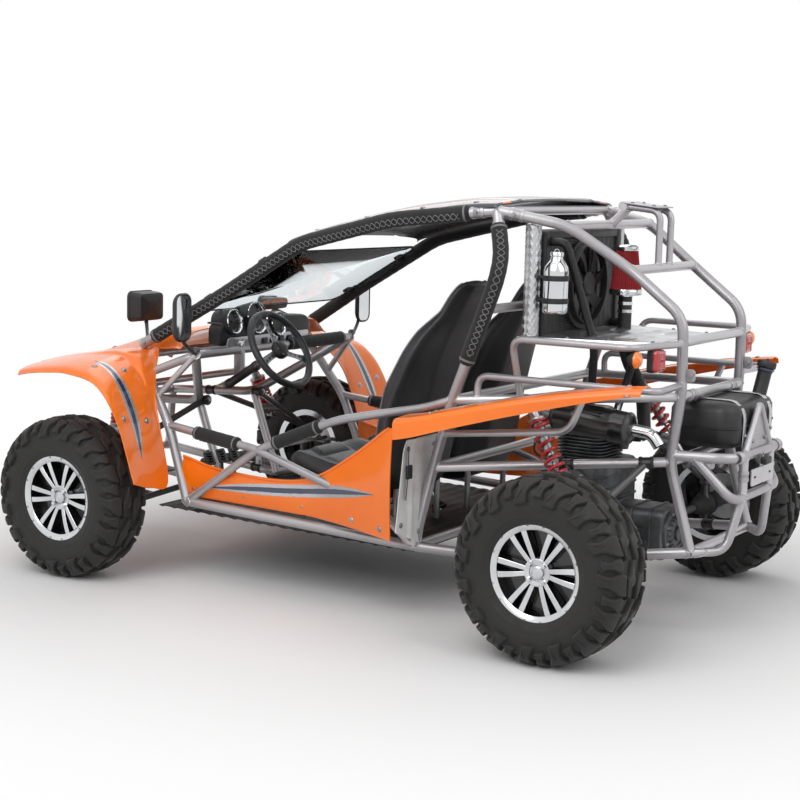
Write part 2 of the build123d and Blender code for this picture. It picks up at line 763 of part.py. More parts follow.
# Steering rack with its tie rods, and the housing that it slides in
rack_y = eye_spot.Y
rack_z = eye_spot.Z + eye_half + clear + rod_r
with BuildPart() as steering_rack:
    ends = [Vector(side * eye_spot.X, rack_y, rack_z) for _, side in sides]
    add(tube(ends, rod_r))
finish(steering_rack, "steering_rack")

with BuildPart() as rack_housing:
    ends = [Vector(side * (joint("box_low").X + main_r), rack_y, rack_z) for _, side in sides]
    rail = at_length(joint("nose_low"), joint("box_low"), rack_y)
    for _, side in sides:
        with Locations(Vector(side * rail.X, rack_y, (rail.Z + rack_z) / 2)):
            Box(main_r, 2 * main_r, rack_z - rail.Z)
    add(tube(ends, rack_r))
    add(tube(ends, rod_r + gap), mode=Mode.SUBTRACT)
    seat_on(frame_front, frame_lower)
finish(rack_housing, "rack_housing")

# Steering wheel and its column
wheel_hub = spot(0.450, -0.2174, 0.605)
column_lean = 58.0
column_dir = Vector(0, -sin(radians(column_lean)), -cos(radians(column_lean)))
steer_plane = Plane(origin=wheel_hub, x_dir=(1, 0, 0), z_dir=-column_dir)
column_length = 330.0
column_r = 12.0
wall_t = 6.0
with BuildPart() as steering_wheel:
    with BuildSketch(Plane(wheel_hub, x_dir=steer_plane.x_dir, z_dir=steer_plane.y_dir)):
        with Locations((steer_wheel_r - grip_r, 0)):
            Circle(grip_r)
    revolve(axis=Axis(wheel_hub, steer_plane.z_dir))
    with BuildSketch(steer_plane.offset(-grip_r)):
        Circle(2 * grip_r)
        with PolarLocations(steer_wheel_r / 2, 3, start_angle=90):
            Rectangle(steer_wheel_r - grip_r, 2 * grip_r)
    extrude(amount=sheet)
    add(tube([wheel_hub + column_dir * (grip_r - sheet), wheel_hub + column_dir * column_length], column_r))
finish(steering_wheel, "steering_wheel")

# Steering column bearing, on a plate under the dash bar
with BuildPart() as steering_column:
    top = wheel_hub + column_dir * (column_length * 0.4)
    foot = wheel_hub + column_dir * (column_length * 0.95)
    add(tube([top, foot], column_r + wall_t, bore=column_r + gap))
    with Locations(Vector(wheel_hub.X, joint("dash_end").Y, (joint("dash_end").Z + between(top, foot, 0.7).Z) / 2)):
        Box(main_r, 2 * main_r, joint("dash_end").Z - between(top, foot, 0.7).Z)
    add(tube([top, foot], column_r + gap), mode=Mode.SUBTRACT)
    seat_on(frame_front, dash_pod)
finish(steering_column, "steering_column")
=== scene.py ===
"""Two-seat dune buggy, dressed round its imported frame.

Metres, +Z up. The vehicle faces -Y and its left side is +X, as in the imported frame.
"""

import json
import logging
import math
from dataclasses import dataclass, field
from enum import Enum
from typing import Any, Iterable, Sequence

import bmesh
import bpy
import numpy as np
from mathutils import Matrix, Vector

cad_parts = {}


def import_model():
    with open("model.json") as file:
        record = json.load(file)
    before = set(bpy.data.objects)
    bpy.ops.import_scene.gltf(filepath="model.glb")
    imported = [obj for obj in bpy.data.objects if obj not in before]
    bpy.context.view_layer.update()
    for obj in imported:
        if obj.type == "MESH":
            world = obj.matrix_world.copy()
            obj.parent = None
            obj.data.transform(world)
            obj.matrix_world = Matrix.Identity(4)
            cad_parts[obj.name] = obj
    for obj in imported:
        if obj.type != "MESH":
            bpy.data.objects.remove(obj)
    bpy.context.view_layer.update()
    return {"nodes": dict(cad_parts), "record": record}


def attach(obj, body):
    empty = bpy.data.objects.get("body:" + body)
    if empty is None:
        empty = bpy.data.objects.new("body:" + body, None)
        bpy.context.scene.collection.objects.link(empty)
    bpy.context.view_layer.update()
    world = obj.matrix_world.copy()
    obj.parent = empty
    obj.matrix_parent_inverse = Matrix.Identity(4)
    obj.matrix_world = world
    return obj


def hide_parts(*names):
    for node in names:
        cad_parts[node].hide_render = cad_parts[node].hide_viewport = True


LOG = logging.getLogger("buggy")
MM = 0.001
TAU = 2 * math.pi
CHASSIS = "chassis"


# Shaders

def linear(hex_colour: str) -> tuple[float, float, float, float]:
    """Turn an sRGB hex colour into linear RGBA.

    Args:
        hex_colour: six hex digits, with or without a leading hash.

    Returns:
        Linear red, green, blue and an alpha of one.
    """
    digits = hex_colour.lstrip("#")
    channels = [int(digits[i:i + 2], 16) / 255 for i in (0, 2, 4)]
    red, green, blue = (c / 12.92 if c <= 0.04045 else ((c + 0.055) / 1.055) ** 2.4 for c in channels)
    return (red, green, blue, 1.0)


def add_node(tree: bpy.types.NodeTree, kind: str, props: dict[str, Any] | None = None,
             sockets: dict[str | int, Any] | None = None) -> bpy.types.Node:
    """Add a shader node, set its properties, and fill or link its sockets.

    Args:
        tree: node tree that takes the node.
        kind: Blender's name of the node type.
        props: properties of the node by name.
        sockets: values or output sockets for the inputs, by name or index.

    Returns:
        The new node.
    """
    node = tree.nodes.new(kind)
    for name, value in (props or {}).items():
        setattr(node, name, value)
    for key, value in (sockets or {}).items():
        if isinstance(value, bpy.types.NodeSocket):
            tree.links.new(value, node.inputs[key])
        else:
            node.inputs[key].default_value = value
    return node


class Pattern(Enum):
    """Fine pattern of a surface, which sets its bump."""

    GRAIN = "moulded or cast grain"
    PORES = "open foam cells"
    HIDE = "embossed leather grain"
    BRUSHED = "straight brushing along the vehicle"
    CLOTH = "woven threads"


@dataclass(frozen=True)
class Finish:
    """A real surface: its base colour with a broad mottle and a fine pattern in bump.

    Attributes:
        name: what the material is and how its surface was made.
        slot: the record's material slot.
        colour: sRGB colour.
        worn: second sRGB colour of the broad mottle, dust or wear.
        metallic: one for a bare metal.
        roughness: middle roughness.
        swing: how far the roughness varies round its middle.
        mottle_mm: size of the mottle's patches.
        grain_mm: size of the fine pattern.
        depth_mm: height of the fine pattern.
        pattern: kind of the fine pattern.
        coat: clear lacquer over the colour.
        coat_roughness: roughness of the lacquer.
        sheen: soft light on fibres or dusty rubber.
        ior: index of refraction.
        transmission: one for clear glass or a lens.
        edge: sRGB colour of the painted highlight on convex edges, or empty for none.
    """

    name: str
    slot: str
    colour: str
    worn: str
    metallic: float = 0.0
    roughness: float = 0.5
    swing: float = 0.08
    mottle_mm: float = 140.0
    grain_mm: float = 1.2
    depth_mm: float = 0.02
    pattern: Pattern = Pattern.GRAIN
    coat: float = 0.0
    coat_roughness: float = 0.05
    sheen: float = 0.0
    ior: float = 1.5
    transmission: float = 0.0
    edge: str = ""

    def height(self, tree: bpy.types.NodeTree, place: bpy.types.NodeSocket) -> bpy.types.NodeSocket:
        """Give the fine pattern's height.

        Args:
            tree: the material's node tree.
            place: the point on the surface.

        Returns:
            A socket with the height from zero to one.
        """
        scale = 1 / (self.grain_mm * MM)
        if self.pattern is Pattern.PORES:
            cells = add_node(tree, "ShaderNodeTexVoronoi", {"feature": "F1"}, {"Vector": place, "Scale": scale})
            return cells.outputs["Distance"]
        if self.pattern is Pattern.HIDE:
            cells = add_node(tree, "ShaderNodeTexVoronoi", {"feature": "DISTANCE_TO_EDGE"},
                             {"Vector": place, "Scale": scale})
            ridge = add_node(tree, "ShaderNodeMapRange", {"interpolation_type": "SMOOTHSTEP"},
                             {"Value": cells.outputs["Distance"], "From Max": 0.22})
            return ridge.outputs["Result"]
        if self.pattern is Pattern.BRUSHED:
            stretch = add_node(tree, "ShaderNodeMapping", {}, {"Vector": place, "Scale": (1.0, 0.03, 1.0)})
            lines = add_node(tree, "ShaderNodeTexNoise", {},
                             {"Vector": stretch.outputs["Vector"], "Scale": scale, "Detail": 3.0})
            return lines.outputs["Fac"]
        if self.pattern is Pattern.CLOTH:
            weft = add_node(tree, "ShaderNodeTexWave", {"bands_direction": "DIAGONAL"},
                            {"Vector": place, "Scale": scale / 6, "Distortion": 1.0})
            return weft.outputs["Fac"]
        grain = add_node(tree, "ShaderNodeTexNoise", {}, {"Vector": place, "Scale": scale, "Detail": 4.0})
        return grain.outputs["Fac"]

    def material(self) -> bpy.types.Material:
        """Make the material once and give it back on later calls.

        Returns:
            The procedural material.
        """
        known = bpy.data.materials.get(self.name)
        if known is not None:
            return known
        made = bpy.data.materials.new(self.name)
        made.use_nodes = True
        tree = made.node_tree
        tree.nodes.clear()
        place = add_node(tree, "ShaderNodeTexCoord").outputs["Object"]
        broad = add_node(tree, "ShaderNodeTexNoise", {},
                         {"Vector": place, "Scale": 1 / (self.mottle_mm * MM), "Detail": 5.0, "Roughness": 0.6})
        patch = add_node(tree, "ShaderNodeMapRange", {},
                         {"Value": broad.outputs["Fac"], "From Min": 0.35, "From Max": 0.7})
        colour = add_node(tree, "ShaderNodeMix", {"data_type": "RGBA"},
                          {0: patch.outputs["Result"], 6: linear(self.colour), 7: linear(self.worn)}).outputs[2]
        # Painted highlight: convex edges, found by pointiness, are mixed towards the lighter edge colour.
        if self.edge:
            corner = add_node(tree, "ShaderNodeNewGeometry").outputs["Pointiness"]
            painted_edge_highlight = add_node(tree, "ShaderNodeMapRange", {}, {"Value": corner, "From Min": 0.53, "From Max": 0.62})
            colour = add_node(tree, "ShaderNodeMix", {"data_type": "RGBA"},
                              {0: painted_edge_highlight.outputs["Result"], 6: colour, 7: linear(self.edge)}).outputs[2]
        rough = add_node(tree, "ShaderNodeMapRange", {},
                         {"Value": broad.outputs["Fac"], "From Min": 0.3, "From Max": 0.7,
                          "To Min": self.roughness - self.swing, "To Max": self.roughness + self.swing})
        bump = add_node(tree, "ShaderNodeBump", {},
                        {"Height": self.height(tree, place), "Distance": self.depth_mm * MM, "Strength": 1.0})
        shader = add_node(tree, "ShaderNodeBsdfPrincipled", {},
                          {"Base Color": colour, "Metallic": self.metallic, "Roughness": rough.outputs["Result"],
                           "Normal": bump.outputs["Normal"], "IOR": self.ior,
                           "Transmission Weight": self.transmission, "Coat Weight": self.coat,
                           "Coat Roughness": self.coat_roughness, "Sheen Weight": self.sheen})
        add_node(tree, "ShaderNodeOutputMaterial", {}, {"Surface": shader.outputs["BSDF"]})
        return made


# Finishes of the buggy, named for the real material

# The edge colour is a painted highlight: a lighter silver on the tubes' convex edges.
SILVER_COAT = Finish("powder_coated_steel_silver", "frame_silver", "#A6A3A6", "#979599", metallic=0.55,
                     roughness=0.34, swing=0.06, grain_mm=0.9, depth_mm=0.012, coat=0.3, edge="#C4C2C4")
ORANGE_GEL = Finish("gloss_abs_orange", "orange", "#FF7C00", "#F87200", roughness=0.34, swing=0.05,
                    mottle_mm=400, grain_mm=6.0, depth_mm=0.01, coat=0.5, coat_roughness=0.05)
WHITE_ABS = Finish("bare_abs_white", "white_panel", "#F2F4F4", "#E2E1DC", roughness=0.35, swing=0.1, mottle_mm=60)
BLACK_ABS = Finish("moulded_abs_black", "black_plastic", "#161617", "#1E1E1F", roughness=0.5, grain_mm=0.8,
                   depth_mm=0.03)
ROOF_GREY = Finish("satin_abs_graphite", "grey_roof", "#3A3D42", "#44474C", roughness=0.32, coat=0.5)
CLEAR_SHEET = Finish("clear_polycarbonate", "clear", "#F4FAFC", "#EEF6FA", roughness=0.03, swing=0.02,
                     depth_mm=0.002, ior=1.1, transmission=1.0)
BLACK_FOAM = Finish("closed_cell_foam_black", "foam", "#121213", "#1C1C1D", roughness=0.85, grain_mm=1.6,
                    depth_mm=0.25, pattern=Pattern.PORES, sheen=0.15)
BLACK_VINYL = Finish("embossed_vinyl_black", "vinyl", "#17171A", "#202024", roughness=0.42, grain_mm=2.2,
                     depth_mm=0.12, pattern=Pattern.HIDE, sheen=0.1)
TYRE_RUBBER = Finish("vulcanised_rubber_black", "tyre_rubber", "#141414", "#24221F", roughness=0.72, swing=0.12,
                     mottle_mm=45, grain_mm=1.1, depth_mm=0.06, sheen=0.1)
CAST_ALLOY = Finish("cast_aluminium_engine", "engine_alloy", "#6A6C6E", "#4E4F50", metallic=0.85, roughness=0.5,
                    mottle_mm=60, grain_mm=1.4, depth_mm=0.08)
SHEET_ALLOY = Finish("brushed_aluminium_sheet", "sheet_alloy", "#C9CACC", "#B4B5B8", metallic=1.0,
                     roughness=0.32, grain_mm=1.0, depth_mm=0.02, pattern=Pattern.BRUSHED)
MACHINED = Finish("machined_aluminium_wheel", "alloy", "#DADBDD", "#C4C5C8", metallic=1.0, roughness=0.2,
                  grain_mm=1.0, depth_mm=0.01)
# The edge colour is a painted highlight: a lighter grey on the convex edges of the black steel.
BLACK_STEEL = Finish("enamelled_steel_black", "black_steel", "#141415", "#232323", roughness=0.35, coat=0.4,
                     edge="#4A4A4C")
RED_SPRING = Finish("powder_coated_spring_red", "red_spring", "#D3131B", "#B30E16", roughness=0.3, coat=0.6)
RED_LENS = Finish("moulded_pmma_red", "red_lens", "#C3161B", "#A50F14", roughness=0.12, coat=1.0)
AMBER_LENS = Finish("moulded_pmma_amber", "amber_lens", "#FF8A00", "#F07800", roughness=0.12, coat=1.0)
TANK_BLACK = Finish("rotomoulded_pe_black", "tank_black", "#131314", "#1B1B1C", roughness=0.45, grain_mm=2.5,
                    depth_mm=0.06)
BARE_STEEL = Finish("turned_steel_bare", "steel", "#A7A8AA", "#8B8C8E", metallic=1.0, roughness=0.34,
                    grain_mm=0.8, depth_mm=0.01, pattern=Pattern.BRUSHED)

GLOSS_BLACK = Finish("gloss_enamel_black", "alloy", "#0D0D0E", "#141415", roughness=0.22, coat=0.6, grain_mm=3.0)
CHROME = Finish("chromed_steel", "steel", "#D8DADC", "#C8CACC", metallic=1.0, roughness=0.09, swing=0.03, grain_mm=2.0,
                depth_mm=0.004)
CLEAR_LENS = Finish("moulded_polycarbonate_clear", "clear", "#F0F2F2", "#E6EAEA", roughness=0.06, swing=0.02,
                    depth_mm=0.004, ior=1.3, transmission=1.0)
DARK_METAL = Finish("shaded_steel_dark", "black_steel", "#1B1C1D", "#262728", roughness=0.45, metallic=0.3)
SILVER_ABS = Finish("painted_abs_silver", "frame_silver", "#B9BABD", "#AAABAE", roughness=0.3, metallic=0.6, coat=0.8,
                    grain_mm=3.0)
BLUE_PAINT = Finish("gloss_paint_dark_blue", "orange", "#232C4E", "#1E2747", roughness=0.3, coat=1.0, grain_mm=3.0)
GREY_VINYL = Finish("piping_vinyl_grey", "vinyl", "#85868A", "#77787C", roughness=0.45, grain_mm=1.4, depth_mm=0.05)
DIAL_FACE = Finish("printed_dial_dark", "black_plastic", "#0C0D10", "#12141A", roughness=0.35, grain_mm=2.0)
RIBBED_GREY = Finish("moulded_abs_grey", "black_plastic", "#55575B", "#4A4C50", roughness=0.45, grain_mm=1.0)
ORANGE_ROOF = Finish("gloss_abs_roof_stripe", "grey_roof", "#FF7C00", "#F87200", roughness=0.3, coat=1.0, grain_mm=5.0)
ROOF_DARK = Finish("satin_abs_charcoal", "grey_roof", "#202226", "#2A2D31", roughness=0.3, coat=0.5)
RED_MESH = Finish("oiled_cotton_gauze_red", "steel", "#A8141C", "#8C1016", roughness=0.7, grain_mm=1.6, depth_mm=0.3,
                  pattern=Pattern.CLOTH, sheen=0.2)
CORD_GREY = Finish("braided_cord_grey", "foam", "#77787B", "#6A6B6E", roughness=0.7, grain_mm=1.0, depth_mm=0.1,
                   pattern=Pattern.CLOTH)

SLOT_FINISH = {finish.slot: finish for finish in (
    SILVER_COAT, ORANGE_GEL, WHITE_ABS, BLACK_ABS, ROOF_GREY, CLEAR_SHEET, BLACK_FOAM, BLACK_VINYL, TYRE_RUBBER,
    CAST_ALLOY, SHEET_ALLOY, MACHINED, BLACK_STEEL, RED_SPRING, RED_LENS, AMBER_LENS, TANK_BLACK, BARE_STEEL)}

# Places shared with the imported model: shares of the frame's half width, the wheelbase and the cage's height

FRAME_HALF = 0.6
WHEELBASE = 2.07
CAGE_HEIGHT = 1.48
SHIFT = -0.02
AXLE_HEIGHT = 0.3175
SIDES = (1.0, -1.0)
RIGHT, BACK, UP = np.eye(3)

JOINTS = {
    "nose_low": (0.317, -0.684, 0.236),
    "nose_high": (0.317, -0.672, 0.412),
    "box_low": (0.317, -0.386, 0.196),
    "box_high": (0.317, -0.449, 0.432),
    "sill_front": (1.05, -0.304, 0.209),
    "sill_rear": (1.0, 0.193, 0.182),
    "rail_mid": (0.75, 0.338, 0.16),
    "rail_rear": (0.467, 0.643, 0.216),
    "upright_mid": (1.017, -0.357, 0.405),
    "upright_dash": (0.997, -0.428, 0.53),
    "upright_top": (0.95, -0.449, 0.581),
    "tower": (0.75, -0.546, 0.473),
    "dash_end": (0.918, -0.317, 0.594),
    "pillar_foot": (0.92, -0.444, 0.612),
    "pillar_low": (0.842, -0.271, 0.755),
    "pillar_mid": (0.842, -0.092, 0.902),
    "pillar_high": (0.883, 0.111, 0.972),
    "hoop_top": (0.75, 0.299, 1.001),
    "hoop_knee": (0.853, 0.326, 0.898),
    "hoop_elbow": (0.917, 0.329, 0.845),
    "hoop_waist": (0.908, 0.308, 0.769),
    "hoop_foot": (0.933, 0.251, 0.547),
    "rear_shoulder": (0.592, 0.411, 0.97),
    "rear_knee": (0.468, 0.515, 0.87),
    "rear_bend": (0.467, 0.612, 0.766),
    "rear_corner": (0.463, 0.614, 0.581),
    "rear_waist": (0.467, 0.599, 0.425),
    "mid_front": (0.96, 0.222, 0.38),
    "bar_cross": (1.067, -0.135, 0.374),
    "bar_low": (1.067, 0.133, 0.266),
    "bar_rise": (1.033, 0.033, 0.473),
    "bar_back": (0.95, 0.205, 0.524),
}


def spot(across: float, along: float, up: float, side: float = 1.0) -> np.ndarray:
    """Give the point at shares of the frame's half width, the wheelbase and the cage's height."""
    return np.array((side * across * FRAME_HALF, along * WHEELBASE + SHIFT, up * CAGE_HEIGHT))


def joint(name: str, side: float = 1.0) -> np.ndarray:
    """Give a welded joint of the frame, on the left (1), the right (-1) or the middle (0)."""
    return spot(*JOINTS[name], side=side)


def joints(names: Iterable[str], side: float = 1.0) -> np.ndarray:
    """Give the route through several welded joints."""
    return np.array([joint(name, side) for name in names])


def between(start: np.ndarray, end: np.ndarray, share: float) -> np.ndarray:
    """Give the point at a share of the way from one point to another."""
    return start + (end - start) * share


def on_run(start: str, end: str, axis: int, level: float, side: float = 1.0) -> np.ndarray:
    """Give the point of the frame's run from one joint to another whose coordinate along an axis has a value."""
    first, last = joint(start, side), joint(end, side)
    return between(first, last, (level - first[axis]) / (last[axis] - first[axis]))


def axle_y(front: bool) -> float:
    """Give the place of the front or the rear axle along the vehicle."""
    return (-WHEELBASE if front else WHEELBASE) / 2 + SHIFT


# Surfaces worked out on grids

def unit(vectors: np.ndarray) -> np.ndarray:
    """Scale vectors to length one."""
    return vectors / np.maximum(np.linalg.norm(vectors, axis=-1, keepdims=True), 1e-12)


def eased(route: Sequence[Any], corner: float, steps: int = 8) -> np.ndarray:
    """Bend the corners of a route.

    From A, a set length before a corner P, to B, as far after it, the bend is
    (1 - t)^2 A + 2 t (1 - t) P + t^2 B for t from 0 to 1.

    Args:
        route: points of the route.
        corner: length of a corner's cut on each of its runs.
        steps: points on each bend.

    Returns:
        The points of the bent route.
    """
    points = np.asarray(route, float)
    if len(points) < 3:
        return points
    runs = np.diff(points, axis=0)
    lengths = np.linalg.norm(runs, axis=1)
    ways = runs / lengths[:, None]
    cut = np.minimum(corner, 0.49 * np.minimum(lengths[:-1], lengths[1:]))[:, None]
    start = (points[1:-1] - ways[:-1] * cut)[:, None]
    end = (points[1:-1] + ways[1:] * cut)[:, None]
    t = np.linspace(0, 1, steps)[None, :, None]
    bends = (1 - t) ** 2 * start + 2 * t * (1 - t) * points[1:-1, None] + t ** 2 * end
    return np.concatenate([points[:1], bends.reshape(-1, 3), points[-1:]])


def angles(count: int, start: float = 0.0) -> np.ndarray:
    """Give equal angles once round, from a share of their pitch."""
    return (np.arange(count) + start) * TAU / count


def heading(angle: float) -> np.ndarray:
    """Give the direction (cos a, sin a)."""
    return np.array((math.cos(angle), math.sin(angle)))


def polar(radius: Any, angle: Any, level: Any) -> np.ndarray:
    """Give the points (r cos a, r sin a, z) of arrays or numbers brought to one shape."""
    radius, angle, level = np.broadcast_arrays(radius, angle, level)
    return np.stack([radius * np.cos(angle), radius * np.sin(angle), level], axis=-1)


def hump(values: np.ndarray, middle: float, width: float) -> np.ndarray:
    """Give a smooth hump of height one, exp(-((v - m) / w)^2)."""
    return np.exp(-((values - middle) / width) ** 2)


def capped(rows: np.ndarray, first: Any = None, last: Any = None) -> np.ndarray:
    """Close a grid's ends: each is drawn in to a point, the mean of its end row where none is given."""
    start, stop = (np.broadcast_to(rows[k].mean(axis=0) if end is None else end, (1, *rows.shape[1:]))
                   for k, end in ((0, first), (-1, last)))
    return np.concatenate([start, rows, stop])


def run_lengths(path: np.ndarray) -> np.ndarray:
    """Give the length from a path's start to each of its points."""
    return np.concatenate([[0.0], np.cumsum(np.linalg.norm(np.diff(path, axis=0), axis=1))])


def sampled(marks: np.ndarray, reach: np.ndarray, path: np.ndarray) -> np.ndarray:
    """Give a path's points at marks of its running length."""
    return np.stack([np.interp(marks, reach, path[:, k]) for k in range(path.shape[1])], axis=1)


def hand(side: float) -> str:
    """Give the name of the left (1) or the right (-1) side."""
    return "left" if side > 0 else "right"


def norm(vector: np.ndarray) -> float:
    """Give a vector's length."""
    return float(np.linalg.norm(vector))


def smoothed(values: np.ndarray, reach: int) -> np.ndarray:
    """Give the running mean over a number of values on each side."""
    return np.convolve(np.pad(values, reach, "edge"), np.ones(2 * reach + 1) / (2 * reach + 1), "valid")


def divided(path: np.ndarray, step: float) -> np.ndarray:
    """Divide a path into equal lengths near a step, by its length from the start."""
    reach = run_lengths(path)
    return sampled(np.linspace(0, reach[-1], max(2, int(round(reach[-1] / step)) + 1)), reach, path)


def carried(path: np.ndarray, profile: np.ndarray) -> np.ndarray:
    """Carry a profile along a path.

    At each point of the path the profile's first axis is the cross product of the path's plane
    normal and its direction, and its second axis is square to both.

    Args:
        path: points, N by 3.
        profile: points M by 2, or N by M by 2 where it changes along the path.

    Returns:
        A grid N by M by 3.
    """
    ways = unit(np.diff(path, axis=0))
    mean = unit(np.concatenate([ways[:1], ways[:-1] + ways[1:], ways[-1:]]))
    flat = np.linalg.svd(path - path.mean(axis=0), full_matrices=True)[2][2]
    side = unit(np.cross(flat, mean))
    up = np.cross(mean, side)
    shape = np.broadcast_to(profile, (len(path), *profile.shape[-2:]))
    return path[:, None] + shape[..., :1] * side[:, None] + shape[..., 1:] * up[:, None]


def ring(radius: float, steps: int) -> np.ndarray:
    """Give points round a circle: (r cos a, r sin a)."""
    turn = angles(steps)
    return radius * np.stack([np.cos(turn), np.sin(turn)], axis=1)


def rounded(width: float, height: float, radius: float, steps: int = 5) -> np.ndarray:
    """Give the outline of a rectangle with quarter circles at its corners, from the lower right round to the left.

    Args:
        width: full width.
        height: full height.
        radius: radius of the corners.
        steps: points on each corner.

    Returns:
        The outline's points, without the first one again.
    """
    radius = min(radius, width / 2 - 1e-5, height / 2 - 1e-5)
    quarter = np.linspace(0, math.pi / 2, steps)
    turns = np.concatenate([quarter + k * math.pi / 2 for k in (-1, 0, 1, 2)])
    signs = np.repeat(np.array([(1, -1), (1, 1), (-1, 1), (-1, -1)]), steps, axis=0)
    middle = signs * (width / 2 - radius, height / 2 - radius)
    return middle + radius * np.stack([np.cos(turns), np.sin(turns)], axis=1)


def inset(outline: np.ndarray, depth: float) -> np.ndarray:
    """Move a closed outline that runs to the left inwards: each point goes along the mean of its edges' normals."""
    edges = unit(np.roll(outline, -1, axis=0) - outline)
    normals = np.stack([edges[:, 1], -edges[:, 0]], axis=1)
    before = np.roll(normals, 1, axis=0)
    lean = (normals + before) / (1 + np.sum(normals * before, axis=1, keepdims=True)).clip(0.3)
    return outline - lean * depth


def at_height(outline: np.ndarray, level: float) -> np.ndarray:
    """Give an outline's points at a height."""
    return np.column_stack([outline, np.full(len(outline), level)])


def layered(outline: np.ndarray, steps: Iterable[Any]) -> list[np.ndarray]:
    """Stack an outline: each step (d, z) gives it moved inwards by d, at height z."""
    return [at_height(inset(outline, d), z) for d, z in steps]


@dataclass(frozen=True)
class Place:
    """Local frame: an origin and three square axes.

    Attributes:
        origin: where the frame stands.
        across: its first axis.
        normal: its third axis; the second is square to both.
    """

    origin: Sequence[float]
    across: Sequence[float] = (1.0, 0.0, 0.0)
    normal: Sequence[float] = (0.0, 0.0, 1.0)

    def turned(self, ways: Sequence[Any] | np.ndarray) -> np.ndarray:
        """Turn local directions into directions of the vehicle: x across + y upward + z normal."""
        third = unit(np.asarray(self.normal, float))
        first = np.asarray(self.across, float)
        first = unit(first - third * float(first @ third))
        return np.asarray(ways, float) @ np.stack([first, np.cross(third, first), third])

    def out(self, points: Sequence[Any] | np.ndarray) -> np.ndarray:
        """Turn local points into points of the vehicle: the origin plus the turned point."""
        return np.asarray(self.origin, float) + self.turned(points)

    def moved(self, point: Sequence[float]) -> "Place":
        """Give the frame with the same axes whose origin is at a local point."""
        return Place(self.out(point), self.across, self.normal)


